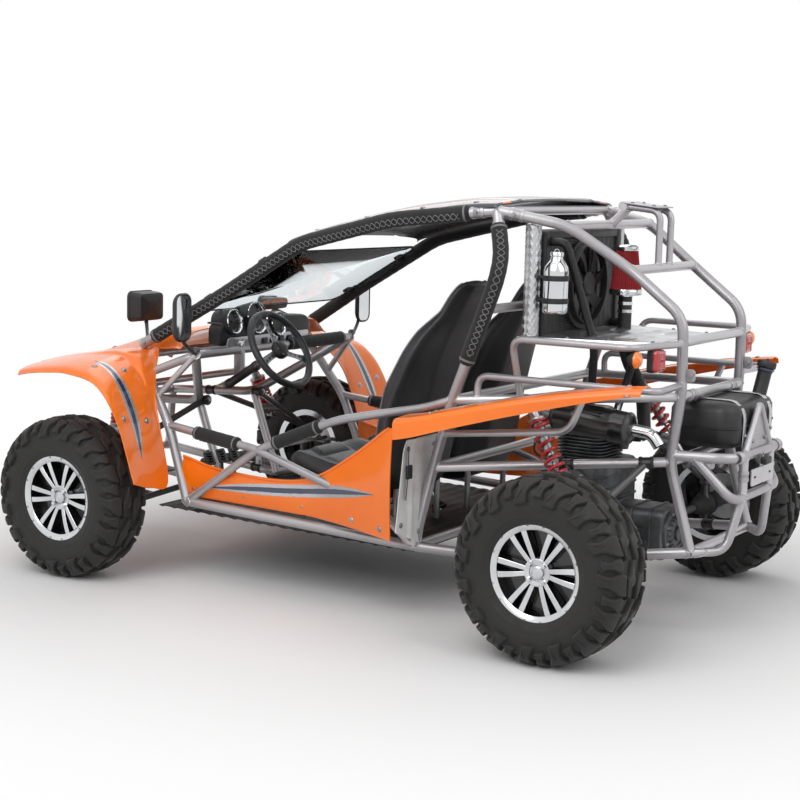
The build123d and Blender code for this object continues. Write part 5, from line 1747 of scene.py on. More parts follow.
@dataclass
class Dash:
    """Dash pod with three hooded gauges, a switch row, a silver lower panel and a ribbed cowl side."""

    y: float = -0.676
    low: float = 0.898
    middle: float = 0.08

    def gauge(self, skin: Skin, x: float, z: float, radius: float, marks: int) -> None:
        """Add a gauge: a chromed ring, a recessed dial, raised division marks and a pointer under a clear lens.

        Args:
            skin: the skin that takes it.
            x: place across.
            z: height.
            radius: radius of the dial.
            marks: number of the division marks.
        """
        place = Place((x, self.y, z), RIGHT, (0.0, 1.0, 0.18))
        skin.spun(place, [(radius + 0.004, -0.075), (radius + 0.014, -0.07), (radius + 0.013, -0.004),
                          (radius + 0.01, 0.01), (radius + 0.004, 0.012), (radius, 0.006), (radius - 0.001, -0.006),
                          (0.0, -0.006)], steps=48,
                  rows=[0, 0, 0, 0, 1, 1, 2])
        skin.spun(place, [(radius + 0.002, 0.0105), (radius + 0.006, 0.0135), (radius + 0.009, 0.0115),
                          (radius + 0.006, 0.0085), (radius + 0.002, 0.0105)], steps=48, finish=1)
        turns = np.linspace(-0.25 * math.pi, 1.25 * math.pi, marks)
        for number, turn in enumerate(turns):
            long = number % 5 == 0
            inner, outer, thick = radius * (0.72 if long else 0.8), radius * 0.9, 0.0011 if long else 0.0006
            way = heading(turn)
            wide = np.array((-way[1], way[0])) * thick
            bar = np.array([way * inner - wide, way * outer - wide, way * outer + wide, way * inner + wide])
            skin.block(place.moved((0.0, 0.0, -0.0058)), bar, 0.0006, 0.0001, 3)
        way = heading(1.1 * math.pi)
        wide = np.array((-way[1], way[0]))
        tail, wide = -way * radius * 0.18, wide * 0.0018
        needle = np.array([tail - wide, way * radius * 0.8, tail + wide])
        pivot = place.moved((0.0, 0.0, -0.004))
        skin.block(pivot, needle, 0.0008, 0.0002, 4)
        skin.spun(pivot, [(0.0, 0.0), (radius * 0.12, 0.0), (radius * 0.11, 0.003), (0.0, 0.0035)], steps=24)

    def build(self) -> None:
        """Build the pod, the gauges and the switches."""
        skin = Skin("dash_shell", (BLACK_ABS, CHROME, DIAL_FACE, WHITE_ABS, RED_LENS, RIBBED_GREY, SILVER_ABS,
                                   AMBER_LENS))
        count = 60
        x = np.linspace(-0.31, 0.31, count)
        top = 0.1 + 0.022 * hump(x, 0.03, 0.16) - 0.02 * np.clip((np.abs(x) - 0.25) / 0.06, 0, 1) ** 2
        loop = rounded(1.0, 1.0, 0.22, 7)
        depth = 0.085 - 0.012 * (x / 0.31) ** 2
        taper = np.clip((0.31 - np.abs(x)) / 0.02, 0, 1) ** 0.5
        grid = np.stack([
            np.repeat((x + self.middle)[:, None], len(loop), axis=1),
            self.y - depth[:, None] / 2 + loop[:, 0] * depth[:, None] * (0.8 + 0.2 * taper[:, None]),
            self.low + top[:, None] / 2 + loop[:, 1] * top[:, None] * (0.8 + 0.2 * taper[:, None])], axis=-1)
        skin.grid(capped(grid), around=True)
        for across, z, radius, marks in ((0.315, 0.996, 0.042, 21), (0.165, 1.003, 0.058, 41),
                                         (0.015, 0.97, 0.042, 21)):
            self.gauge(skin, across, z, radius, marks)
        panel = Place((self.middle, self.y + 0.002, self.low + 0.01), RIGHT, (0.0, 1.0, -0.2))
        skin.block(panel, rounded(0.56, 0.052, 0.014), 0.005, 0.0015, 6)
        for number in range(5):
            key = panel.moved((-0.2 + number * 0.058, 0.0, 0.005))
            skin.block(key, rounded(0.038, 0.024, 0.004), 0.003, 0.001)
            cap = Place(key.out((0.0, 0.0, 0.0025)), RIGHT, (0.0, 1.0, 0.05))
            skin.block(cap, rounded(0.03, 0.017, 0.003), 0.004, 0.0012)
            skin.spun(Place(key.out((0.0, 0.005, 0.006)), RIGHT, (0.0, 1.0, 0.05)),
                      [(0.0, 0.0), (0.0022, 0.0), (0.0018, 0.001), (0.0, 0.0012)], steps=10,
                      finish=(3, 4, 7)[number % 3])
        lock = panel.moved((0.19, 0.0, 0.005))
        skin.spun(lock, [(0.0, 0.0), (0.017, 0.0), (0.017, 0.006), (0.013, 0.009), (0.012, 0.006), (0.0, 0.006)],
                  finish=1)
        for number in range(9):
            rib = Place((self.middle + 0.222 + number * 0.0095, self.y - 0.045, self.low + 0.088))
            skin.block(rib, rounded(0.005, 0.072, 0.0024), 0.008, 0.001, 5)
        skin.build(replaces=("dash_pod",), sharp=45)


@dataclass
class SteeringWheel:
    """Steering wheel: a stitched rim on three drilled spokes, with a padded hub, on its column."""

    hub: tuple[float, float, float] = (0.27, -0.47002, 0.8954)
    lean: float = 58.0
    radius: float = 0.161
    grip: float = 0.0145

    def build(self) -> None:
        """Build the wheel and the column's bearing."""
        lean = math.radians(self.lean)
        normal = np.array((0.0, math.sin(lean), math.cos(lean)))
        place = Place(self.hub, RIGHT, normal)
        skin = Skin("steering_wheel_rim", (BLACK_VINYL, BARE_STEEL, BLACK_ABS, CORD_GREY), "steering")
        turn = angles(120)
        small = angles(16)
        swell = self.grip * (1 + 0.045 * np.cos(turn * 16)[:, None] * (np.cos(small) < 0.2))
        out = self.radius + swell * np.cos(small)
        skin.grid(place.out(polar(out, turn[:, None], swell * np.sin(small))), around=True, along=True)
        fine = angles(720)
        cord = self.radius - self.grip * 0.985 + 0.0006 * np.cos(fine * 180)
        stitch = polar(cord, fine, 0.0009 * np.sin(fine * 180))
        square = 0.0009 * np.array([RIGHT, (0.0, 0.8, 0.6), -RIGHT, (0.0, -0.8, -0.6)])
        skin.grid(place.out(stitch)[:, None] + square, around=True, along=True, finish=3)
        for angle in (270, 20, 160):
            way = heading(math.radians(angle))
            side = np.array((-way[1], way[0]))
            u = np.linspace(0, 1, 9)
            reach = 0.024 + (self.radius - 0.01 - 0.024) * u
            half = 0.017 - 0.006 * np.sin(u * math.pi)
            line, wide = way * reach[:, None], side * half[:, None]
            outline = np.concatenate([line - wide, (line + wide)[::-1]])
            skin.block(place.moved((0.0, 0.0, -0.012)), outline, 0.004, 0.0012, 1)
            for share in (0.32, 0.52, 0.72):
                skin.spun(place.moved((*(way * (0.024 + 0.127 * share)), -0.0082)),
                          [(0.0, 0.0002), (0.0052, 0.0002), (0.0064, 0.0008), (0.0072, 0.0002), (0.0072, -0.001)],
                          steps=18, rows=[2, 2, 1, 1])
        skin.spun(place, [(0.0, -0.018), (0.034, -0.018), (0.038, -0.01), (0.038, 0.004), (0.034, 0.012),
                          (0.022, 0.017), (0.0, 0.018)], finish=2)
        for angle in angles(6):
            skin.spun(place.moved((*(0.029 * heading(angle)), 0.0125)),
                      [(0.004, -0.001), (0.004, 0.0018), (0.0, 0.0026)], steps=12, finish=1)
        skin.tube(np.asarray(self.hub) - np.outer((0.012, 0.33), normal), 0.012, 0.0, 20, 1)
        skin.build(replaces=("steering_wheel",), sharp=40)
        post = Skin("steering_post", (BARE_STEEL, BLACK_STEEL))
        top, low = np.asarray(self.hub) - normal * 0.132, np.asarray(self.hub) - normal * 0.3135
        length = 0.1815
        post.spun(Place(low, RIGHT, normal), [
            (0.0125, 0.0), (0.019, 0.0), (0.0205, 0.004), (0.0205, 0.02), (0.018, 0.024), (0.018, length - 0.024),
            (0.0205, length - 0.02), (0.0205, length - 0.004), (0.019, length), (0.0125, length), (0.0125, 0.0)],
            finish=1)
        bar = joint("dash_end", 0)
        at = between(low, top, 0.3)
        post.block(Place((self.hub[0] - 0.0095, bar[1], (bar[2] + at[2]) / 2), BACK, RIGHT),
                   rounded(0.044, bar[2] - at[2], 0.008), 0.019, 0.002, 0)
        post.build(replaces=("steering_column",))


@dataclass
class Fittings:
    """Mirrors, headlamps, pedals and levers."""

    def mirror(self, skin: Skin, side: float) -> None:
        """Add a mirror: a domed housing round a recessed glass, on a bent stalk with a ball joint."""
        at = spot(1.058, -0.317, 0.697, side)
        face = Place(at + (0.0, 0.012, 0.0), RIGHT, BACK)
        outline = rounded(0.1, 0.19, 0.036, 8)
        layers = [(0.0, -0.0085), (0.003, -0.004), (0.006, -0.0015), (0.0075, -0.005), (0.009, -0.0052)]
        shell = layered(outline, layers)
        shell.append(np.broadcast_to((0.0, 0.0, -0.0052), (len(outline), 3)))
        skin.grid(face.out(np.stack(shell)), around=True, rows=[0, 0, 0, 0, 1])
        turn = np.linspace(0, math.pi / 2, 7)
        rear = [at_height(outline * (math.cos(a) ** 0.6 if a < 1.5 else 0.02), -0.0085 - 0.026 * math.sin(a))
                for a in turn]
        skin.grid(face.out(np.stack(rear)), around=True)
        end = joint("dash_end", side)
        skin.tube((at - (0, 0.012, 0.02), at - (side * 0.018, 0.012, 0.1), end), 0.0075, 0.03, 14, 2)
        skin.spun(Place(at - (0.0, 0.016, 0.02)),
                  [(0.0, -0.014), (0.01, -0.01), (0.014, 0.0), (0.01, 0.01), (0.0, 0.014)], steps=20, finish=2)
        skin.spun(Place(end + (0.0, 0.0, 0.019)),
                  [(0.0, -0.008), (0.016, -0.008), (0.016, 0.004), (0.01, 0.01), (0.0, 0.01)], steps=6, finish=2)

    def headlamp(self, skin: Skin, glass: Skin, side: float) -> None:
        """Add a headlamp: a ribbed housing, a faceted bowl, a bulb and a clear lens in a bezel."""
        at = spot(0.723, -0.489, 0.705, side)
        face = Place(at + (0.0, -0.035, 0.0), side * RIGHT, -BACK)
        outline = rounded(0.15, 0.12, 0.022, 7)
        layers = [(0.018, -0.07), (0.006, -0.066), (0.002, -0.05), (0.0, -0.012), (-0.003, -0.01), (-0.003, 0.0),
                  (0.001, 0.003), (0.006, 0.002), (0.008, -0.006)]
        shell = [np.broadcast_to((0.0, 0.0, -0.07), (len(outline), 3))]
        shell += layered(outline, layers)
        skin.grid(face.out(np.stack(shell)), around=True)
        rim = inset(outline, 0.008)
        bowl = [at_height(rim * (1 - 0.78 * t), -0.006 - 0.042 * math.sin(t * math.pi / 2))
                for t in np.linspace(0, 1, 8)]
        bowl.append(np.broadcast_to((0.0, 0.0, -0.048), (len(rim), 3)))
        skin.grid(face.out(np.stack(bowl)), around=True, finish=1)
        skin.spun(Place(face.out((0.0, 0.0, -0.046)), RIGHT, -BACK),
                  [(0.013, 0.0), (0.013, 0.012), (0.009, 0.014), (0.009, 0.024), (0.0, 0.027)], steps=24, finish=1)
        glass.block(face.moved((0.0, 0.0, -0.005)), inset(outline, 0.0075), 0.006, 0.0025)
        root = between(joint("pillar_foot", side), joint("pillar_low", side), 0.05)
        skin.tube((at - (0.0, 0.0, 0.056), root), 0.008, 0.02, 14, 2)
        bolt(skin, at - (0.0, 0.0, 0.064), -UP, 0.008, 2)

    def controls(self) -> None:
        """Build the pedals with ribbed pads, the shift lever and the hand brake with ribbed grips."""
        skin = Skin("pedals_and_levers", (BLACK_STEEL, BLACK_ABS, CHROME, RED_LENS))
        base = spot(0.45, -0.36, 0.29)
        tilt = np.array((0.0, 2.0, 1.0))
        for turn in (-1, 0, 1):
            pad = base + (turn * 0.08, 0.0, 0.0)
            skin.tube((pad - (0.0, -0.01, 0.11), pad), 0.007, 0.0, 12)
            plate = Place(pad, RIGHT, tilt)
            skin.block(plate, rounded(0.056, 0.062, 0.008), 0.006, 0.001)
            for number in range(5):
                rib = plate.moved((0.0, -0.022 + number * 0.011, 0.006))
                skin.block(rib, rounded(0.048, 0.005, 0.002), 0.003, 0.0008, 1)
        for foot, knob, up, size in ((-0.02, -0.05, 0.385, 0.022), (0.075, 0.012, 0.3, 0.015)):
            start = np.array((0.0, foot * WHEELBASE + SHIFT, 0.275))
            end = spot(0.0, knob, up)
            skin.tube((start, between(start, end, 0.5) + (0.0, 0.01, 0.0), end), 0.0075, 0.05, 14, 2)
            way = unit(end - start)
            skin.spun(Place(start + way * 0.004, RIGHT, way),
                      [(0.034, 0.0), (0.034, 0.006), (0.026, 0.01), (0.029, 0.016), (0.021, 0.021), (0.024, 0.027),
                       (0.016, 0.032), (0.0085, 0.04)], steps=28, finish=1)
            turns = np.linspace(0, math.pi, 9)
            skin.spun(Place(end, RIGHT, way), [(size * math.sin(a), -size * 1.15 * math.cos(a)) for a in turns],
                      steps=28, finish=1)
        skin.build()

    def build(self) -> None:
        """Build the fittings."""
        mirrors = Skin("mirror_shells", (BLACK_ABS, CHROME, BLACK_STEEL))
        lamps = Skin("headlamp_shells", (BLACK_ABS, CHROME, BLACK_STEEL))
        glass = Skin("headlamp_lenses", (CLEAR_LENS,))
        for side in SIDES:
            self.mirror(mirrors, side)
            self.headlamp(lamps, glass, side)
        mirrors.build(replaces=("mirrors",), sharp=40)
        lamps.build(replaces=("headlamps",), sharp=40)
        glass.build()
        self.controls()


@dataclass
class Cabin:
    """The seats, the dash, the steering wheel and the fittings."""

    def build(self) -> None:
        """Build the cabin."""
        for side in SIDES:
            Seat().build(side)
        Dash().build()
        SteeringWheel().build()
        Fittings().build()


# Running gear and drive

@dataclass
class Suspension:
    """Arms with bushes and ball joints, coil springs over dampers, knuckles, hub carriers and the steering rack."""

    ball: float = 0.0933

    def arm(self, skin: Skin, roots: Sequence[np.ndarray], ball: np.ndarray) -> None:
        """Add an arm: two tubes to a forged ball joint, a cross brace, and a rubber bush in a sleeve at each root.

        Args:
            skin: the skin that takes it.
            roots: its two roots on the rail.
            ball: its ball joint.
        """
        for root in roots:
            skin.tube((root, ball), 0.013, 0.0, 16)
            axis = unit(roots[1] - roots[0])
            skin.spun(Place(root, (0.2, 0.3, 0.9), axis),
                      [(0.008, -0.026), (0.02, -0.026), (0.022, -0.023), (0.022, -0.015), (0.0195, -0.014),
                       (0.0195, 0.014), (0.022, 0.015), (0.022, 0.023), (0.02, 0.026), (0.008, 0.026)], steps=24,
                      rows=[1, 1, 1, 1, 0, 1, 1, 1, 1])
            bolt(skin, root + axis * 0.026, axis, 0.0085, 2)
            bolt(skin, root - axis * 0.026, -axis, 0.0085, 2)
        skin.tube((between(roots[0], ball, 0.45), between(roots[1], ball, 0.45)), 0.01, 0.0, 12)
        skin.spun(Place(ball),
                  [(0.0, -0.012), (0.022, -0.012), (0.025, -0.008), (0.025, 0.006), (0.018, 0.011), (0.0, 0.012)],
                  steps=28)

    def spring(self, skin: Skin, top: np.ndarray, foot: np.ndarray, turns: float = 7.5) -> None:
        """Add a coil spring: the wire follows (R cos a, R sin a, s), R = 30 mm, with closed, flattened end turns.

        Args:
            skin: the skin that takes it.
            top: upper eye of the shock absorber.
            foot: lower eye.
            turns: turns of the wire.
        """
        way = unit(foot - top)
        length = norm(foot - top)
        a = np.linspace(0, 1, int(turns * 26))
        climb = np.interp(a, (0.0, 0.09, 0.91, 1.0), (0.0, 0.035, 0.965, 1.0))
        angle = a * turns * TAU
        local = polar(0.03, angle, length * (0.22 + 0.5 * climb))
        path = Place(top, (0.0, 1.0, 0.1), way).out(local)
        direction = unit(np.gradient(path, axis=0))
        out = unit(path - top - way * local[:, 2:])
        third = np.cross(direction, out)
        circle = ring(0.0062, 12)
        wire = path[:, None] + circle[:, :1] * out[:, None] + circle[:, 1:] * third[:, None]
        skin.grid(capped(wire, path[0], path[-1]), around=True)

    def damper(self, skin: Skin, top: np.ndarray, foot: np.ndarray) -> None:
        """Add a damper: two eyes with bushes, spring seats, a threaded body with its collar, a rod and a bump stop."""
        way = unit(foot - top)
        length = norm(foot - top)
        place = Place(top, (0.0, 1.0, 0.1), way)
        thread = [(0.0195 + (0.0007 if k % 2 else 0.0), length * 0.225 + 0.0022 * k) for k in range(28)]
        skin.spun(place, [(0.0, 0.014), (0.016, 0.016), (0.0195, 0.03), (0.0195, length * 0.19),
                          (0.035, length * 0.195), (0.0365, length * 0.205), (0.0365, length * 0.216),
                          (0.034, length * 0.22), *thread, (0.018, length * 0.225 + 0.066), (0.018, length * 0.54),
                          (0.014, length * 0.55), (0.0055, length * 0.553), (0.0055, length * 0.7),
                          (0.014, length * 0.7), (0.015, length * 0.715), (0.036, length * 0.722),
                          (0.0375, length * 0.73), (0.0375, length * 0.745), (0.03, length * 0.755),
                          (0.014, length * 0.765), (0.013, length - 0.016), (0.0, length - 0.014)], steps=32)
        for at in (top, foot):
            skin.spun(Place(at, RIGHT, BACK),
                      [(0.006, -0.017), (0.016, -0.017), (0.0175, -0.014), (0.0175, 0.014), (0.016, 0.017),
                       (0.006, 0.017), (0.006, -0.017)], steps=24, rows=[1, 0, 0, 0, 1, 1])
            bolt(skin, at + BACK * 0.017, BACK, 0.008, 0)
            bolt(skin, at - BACK * 0.017, -BACK, 0.008, 0)

    def shocks(self) -> list[tuple[np.ndarray, np.ndarray]]:
        """Give the eyes of the left shock absorbers, front and rear."""
        front_arm = between(on_run("nose_high", "box_high", 1, axle_y(True) - 0.13),
                            np.array((0.735, axle_y(True), AXLE_HEIGHT + self.ball)), 0.62)
        rear_arm = between(on_run("mid_front", "rear_waist", 1, axle_y(False) - 0.13),
                           np.array((0.6, axle_y(False), AXLE_HEIGHT + self.ball)), 0.62)
        rear_top = on_run("hoop_foot", "rear_corner", 1, axle_y(False) - 0.26)
        return [(joint("tower"), front_arm), (rear_top, rear_arm)]

    def build(self) -> None:
        """Build both axles' suspension and the steering."""
        arms = {axle: Skin(f"arm_tubes_{axle}", (BLACK_STEEL, BLACK_ABS, BARE_STEEL)) for axle in ("front", "rear")}
        rows = (("front", 0.735, -1, "nose_low", "box_low"), ("front", 0.735, 1, "nose_high", "box_high"),
                ("rear", 0.6, -1, "rail_mid", "rail_rear"), ("rear", 0.6, 1, "mid_front", "rear_waist"))
        for axle, x, level, start, end in rows:
            y = axle_y(axle == "front")
            for side in SIDES:
                ball = np.array((side * x, y, AXLE_HEIGHT + level * self.ball))
                roots = [on_run(start, end, 1, y + lean * 0.13, side) for lean in (-1, 1)]
                self.arm(arms[axle], roots, ball)
        for axle, skin in arms.items():
            skin.build(replaces=(f"{axle}_arms",), sharp=40)
        springs = Skin("spring_wires", (RED_SPRING,))
        tubes = Skin("damper_bodies", (BARE_STEEL, BLACK_ABS))
        for top, foot in self.shocks():
            for side in SIDES:
                flip = np.array((side, 1.0, 1.0))
                self.spring(springs, top * flip, foot * flip)
                self.damper(tubes, top * flip, foot * flip)
        springs.build(replaces=("coil_springs",), sharp=60)
        tubes.build(replaces=("dampers",), sharp=35)
        self.knuckles()
        self.carriers()
        self.rack()

    def knuckles(self) -> None:
        """Build the front knuckles: a forged upright with ball seats, a stub axle, a caliper and a steering arm."""
        for side in SIDES:
            name = hand(side)
            skin = Skin(f"knuckle_forging_{name}", (BLACK_STEEL, BARE_STEEL, CAST_ALLOY), f"knuckle_{name}")
            hub = np.array((side * 0.735, axle_y(True), AXLE_HEIGHT))
            skin.spun(Place(hub),
                      [(0.0, -0.08), (0.014, -0.08), (0.016, -0.074), (0.016, -0.05), (0.021, -0.036), (0.023, 0.0),
                       (0.021, 0.036), (0.016, 0.05), (0.016, 0.074), (0.014, 0.08), (0.0, 0.08)], steps=28)
            end = 0.845 + 0.0844 - 0.0455
            skin.spun(Place(hub, BACK, side * RIGHT),
                      [(0.0, 0.0), (0.03, 0.004), (0.034, 0.018), (0.034, 0.03), (0.024, 0.036), (0.017, 0.042),
                       (0.017, end - 0.735 - 0.01), (0.0, end - 0.735 - 0.009)], steps=32, rows=[0, 0, 0, 0, 1, 1, 1])
            eye = hub + (-side * 0.034, 0.145, 0.034)
            skin.tube((hub + (0.0, 0.0, 0.034), hub + (0.0, 0.06, 0.03), eye), 0.009, 0.03, 16)
            skin.spun(Place(eye),
                      [(0.0, -0.0112), (0.014, -0.0112), (0.016, -0.008), (0.016, 0.008), (0.014, 0.0112),
                       (0.0, 0.0112)], steps=24)
            skin.build(replaces=(f"knuckle_{name}",), sharp=40)

    def carriers(self) -> None:
        """Build the rear hub carriers and the half shafts with their ribbed boots."""
        skin = Skin("carrier_castings", (BLACK_STEEL, BARE_STEEL))
        shafts = Skin("shaft_bars", (BARE_STEEL, BLACK_FOAM, CHROME))
        boots = Skin("shaft_boots", (TYRE_RUBBER, BARE_STEEL))
        for side in SIDES:
            hub = np.array((side * 0.6, axle_y(False), AXLE_HEIGHT))
            skin.spun(Place(hub),
                      [(0.0, -0.08), (0.015, -0.08), (0.017, -0.074), (0.017, -0.05), (0.026, -0.034), (0.028, 0.0),
                       (0.026, 0.034), (0.017, 0.05), (0.017, 0.074), (0.015, 0.08), (0.0, 0.08)], steps=28)
            end = 0.775 + 0.102 - 0.0455 - 0.6
            skin.spun(Place(hub, BACK, side * RIGHT),
                      [(0.0, -0.016), (0.044, -0.014), (0.048, 0.0), (0.048, 0.022), (0.036, 0.03),
                       (0.034, end - 0.008), (0.03, end - 0.002), (0.0, end - 0.002)], steps=36,
                      rows=[0, 0, 0, 0, 1, 1, 1])
            start, stop = 0.0905, 0.5825
            axle = Place((side * start, axle_y(False), AXLE_HEIGHT), BACK, side * RIGHT)
            reach = stop - start
            shafts.spun(axle, [(0.0, 0.0), (0.034, 0.0), (0.036, 0.003), (0.036, 0.018), (0.014, 0.02),
                               (0.014, reach - 0.02), (0.036, reach - 0.018), (0.036, reach - 0.003), (0.034, reach),
                               (0.0, reach)], steps=32)
            k = np.arange(29)
            fold = 0.5 - 0.5 * np.cos(k * math.pi)
            cone = 0.038 - 0.02 * k / 28
            for from_end in (False, True):
                out = 0.016 + k * 0.0031
                profile = np.stack([cone + 0.0045 * fold * (1 - 0.3 * k / 28), reach - out if from_end else out],
                                   axis=1)
                ends = [(0.014, profile[0, 1]), *profile, (0.0145, profile[-1, 1])]
                boots.spun(axle, ends, steps=32)
        skin.build(replaces=("rear_knuckles",), sharp=40)
        shafts.build(replaces=("half_shafts",), sharp=40)
        boots.build(sharp=60)

    def rack(self) -> None:
        """Build the steering rack: a sliding bar with ball ends and the housing with its boots and clamps."""
        y, z = axle_y(True) + 0.145, AXLE_HEIGHT + 0.034 + 0.0112 + 0.006 + 0.008
        eye = 0.735 - 0.034
        bar = Skin("rack_bar", (BARE_STEEL, BLACK_STEEL), "rack")
        bar.spun(Place((-eye, y, z), BACK, RIGHT),
                 [(0.0, 0.0), (0.0076, 0.001), (0.008, 0.01), (0.008, 2 * eye - 0.01), (0.0076, 2 * eye - 0.001),
                  (0.0, 2 * eye)], steps=20)
        bar.build(replaces=("steering_rack",))
        house = Skin("rack_case", (CAST_ALLOY, BARE_STEEL))
        half = 0.317 * FRAME_HALF + 0.019
        house.spun(Place((-half, y, z), BACK, RIGHT),
                   [(0.0085, 0.0), (0.018, 0.0), (0.02, 0.003), (0.02, 0.03), (0.017, 0.034), (0.017, half - 0.03),
                    (0.02, half - 0.026), (0.02, half + 0.05), (0.017, half + 0.054), (0.017, 2 * half - 0.034),
                    (0.02, 2 * half - 0.03), (0.02, 2 * half - 0.003), (0.018, 2 * half), (0.0085, 2 * half),
                    (0.0085, 0.0)], steps=28)
        rail = on_run("nose_low", "box_low", 1, y)
        for side in SIDES:
            at = (side * rail[0] - 0.0095, y, (rail[2] + z) / 2)
            house.block(Place(at, BACK, RIGHT), rounded(0.038, z - rail[2], 0.007), 0.019, 0.002, 1)
            bolt(house, np.array((side * rail[0] + 0.0095, y, rail[2] + 0.03)), RIGHT, 0.007, 1)
        house.build(replaces=("rack_housing",), sharp=40)


@dataclass
class Powertrain:
    """Engine, gearbox, exhaust, intake, radiator and tank behind the seats."""

    x: float = -0.06
    y: float = 0.7547

    def engine(self) -> None:
        """Build the engine: ribbed crankcase, bolted covers, finned barrel, head with a plug, and a carburettor."""
        skin = Skin("engine_castings", (CAST_ALLOY, BARE_STEEL, BLACK_STEEL, BLACK_ABS, CHROME))
        low, high = 0.3625, 0.5525
        case = rounded(0.33, 0.27, 0.05, 7)
        skin.block(Place((self.x, self.y, low)), case, high - low, 0.016)
        for level in (0.41, 0.455, 0.5):
            skin.block(Place((self.x, self.y, level)), inset(case, -0.006), 0.008, 0.003)
        barrel = rounded(0.18, 0.16, 0.035, 6)
        skin.block(Place((self.x, self.y, high - 0.01)), barrel, 0.19, 0.006)
        fin = rounded(0.23, 0.2, 0.045, 6)
        for number in range(10):
            skin.block(Place((self.x, self.y, high + 0.008 + number * 0.0125)), fin, 0.0045, 0.0018)
        skin.block(Place((self.x, self.y, high + 0.132)), rounded(0.21, 0.18, 0.03, 6), 0.035, 0.006)
        skin.block(Place((self.x, self.y, high + 0.167)), rounded(0.165, 0.135, 0.04, 6), 0.026, 0.009, 2)
        for px in (-0.085, 0.085):
            for py in (-0.07, 0.07):
                bolt(skin, np.array((self.x + px, self.y + py, high + 0.167)), UP, 0.008)
        for side in SIDES:
            cover = Place((self.x + side * 0.165, self.y, 0.4575), BACK, side * RIGHT)
            skin.spun(cover, [(0.0, -0.01), (0.082, -0.01), (0.082, 0.01), (0.078, 0.016), (0.06, 0.02), (0.056, 0.028),
                              (0.04, 0.031), (0.036, 0.027), (0.018, 0.027), (0.016, 0.032), (0.0, 0.033)], steps=64)
            for angle in angles(8):
                bolt(skin, cover.out((*(0.072 * heading(angle)), 0.017)), side * RIGHT, 0.0055)
            for way in map(heading, angles(16)):
                rib = Place(cover.out((*(0.047 * way), 0.024)), cover.turned((*way, 0.0)), side * RIGHT)
                skin.block(rib, rounded(0.02, 0.003, 0.0012, 3), 0.008, 0.0008)
            foot = joint("rail_mid", 0)
            post = np.array((self.x + side * 0.09, foot[1], foot[2]))
            skin.tube((post, post + (0.0, 0.02, low - foot[2] + 0.01)), 0.0125, 0.0, 14, 2)
        plug = Place((self.x + 0.02, self.y - 0.09, high + 0.15), RIGHT, (0.0, -1.0, 0.3))
        skin.spun(plug, [(0.0, 0.0), (0.012, 0.0), (0.012, 0.012), (0.008, 0.014), (0.01, 0.022), (0.011, 0.05),
                         (0.0, 0.052)], steps=20, finish=3)
        skin.tube((plug.out((0.0, 0.0, 0.05)), (self.x + 0.03, self.y - 0.17, high + 0.14),
                   (self.x + 0.14, self.y - 0.18, high + 0.02), (self.x + 0.15, self.y - 0.1, high - 0.01)),
                  0.004, 0.05, 10, 3)
        carb = Place((self.x - 0.02, self.y + 0.085, high + 0.1), RIGHT, BACK)
        skin.spun(carb, [(0.0, 0.0), (0.026, 0.0), (0.026, 0.012), (0.032, 0.014), (0.034, 0.05), (0.028, 0.056),
                         (0.03, 0.075), (0.026, 0.078), (0.0, 0.078)], steps=32)
        skin.spun(Place((self.x - 0.02, self.y + 0.125, high + 0.06)),
                  [(0.0, -0.02), (0.02, -0.018), (0.024, 0.0), (0.024, 0.08), (0.018, 0.092), (0.0, 0.094)], steps=28)
        skin.build(replaces=("engine",), sharp=38)

    def gearbox(self) -> None:
        """Build the gearbox: a ribbed case with flanges, a round back cover with radial ribs and a bolt ring."""
        skin = Skin("gearbox_castings", (CAST_ALLOY, BARE_STEEL, BLACK_ABS))
        y, z = axle_y(False), AXLE_HEIGHT
        case = rounded(0.18, 0.19, 0.03, 6)
        skin.block(Place((0.0, y - 0.11, z), -RIGHT, BACK), case, 0.22, 0.012)
        for shift in (-0.098, -0.02, 0.055):
            skin.block(Place((0.0, y + shift, z), -RIGHT, BACK), inset(case, -0.006), 0.009, 0.002)
        cover = Place((0.0, y + 0.108, z), -RIGHT, BACK)
        skin.spun(cover, [(0.0, 0.0), (0.086, 0.0), (0.086, 0.012), (0.082, 0.016), (0.07, 0.017), (0.066, 0.024),
                          (0.052, 0.03), (0.046, 0.03), (0.043, 0.024), (0.028, 0.024), (0.026, 0.034), (0.0, 0.036)],
                  steps=72)
        for way in map(heading, angles(20)):
            rib = Place(cover.out((*(way * 0.059), 0.021)), cover.turned((*way, 0.0)), BACK)
            skin.block(rib, rounded(0.026, 0.0032, 0.0014, 3), 0.009, 0.0008)
        for angle in angles(8, 0.5):
            bolt(skin, cover.out((*(0.078 * heading(angle)), 0.0165)), BACK, 0.0055)
        for side in SIDES:
            skin.spun(Place((side * 0.088, y, z), BACK, side * RIGHT),
                      [(0.0, 0.0), (0.046, 0.0), (0.046, 0.001), (0.04, 0.0022), (0.0, 0.0022)], steps=32)
        skin.build(replaces=("gearbox",), sharp=38)

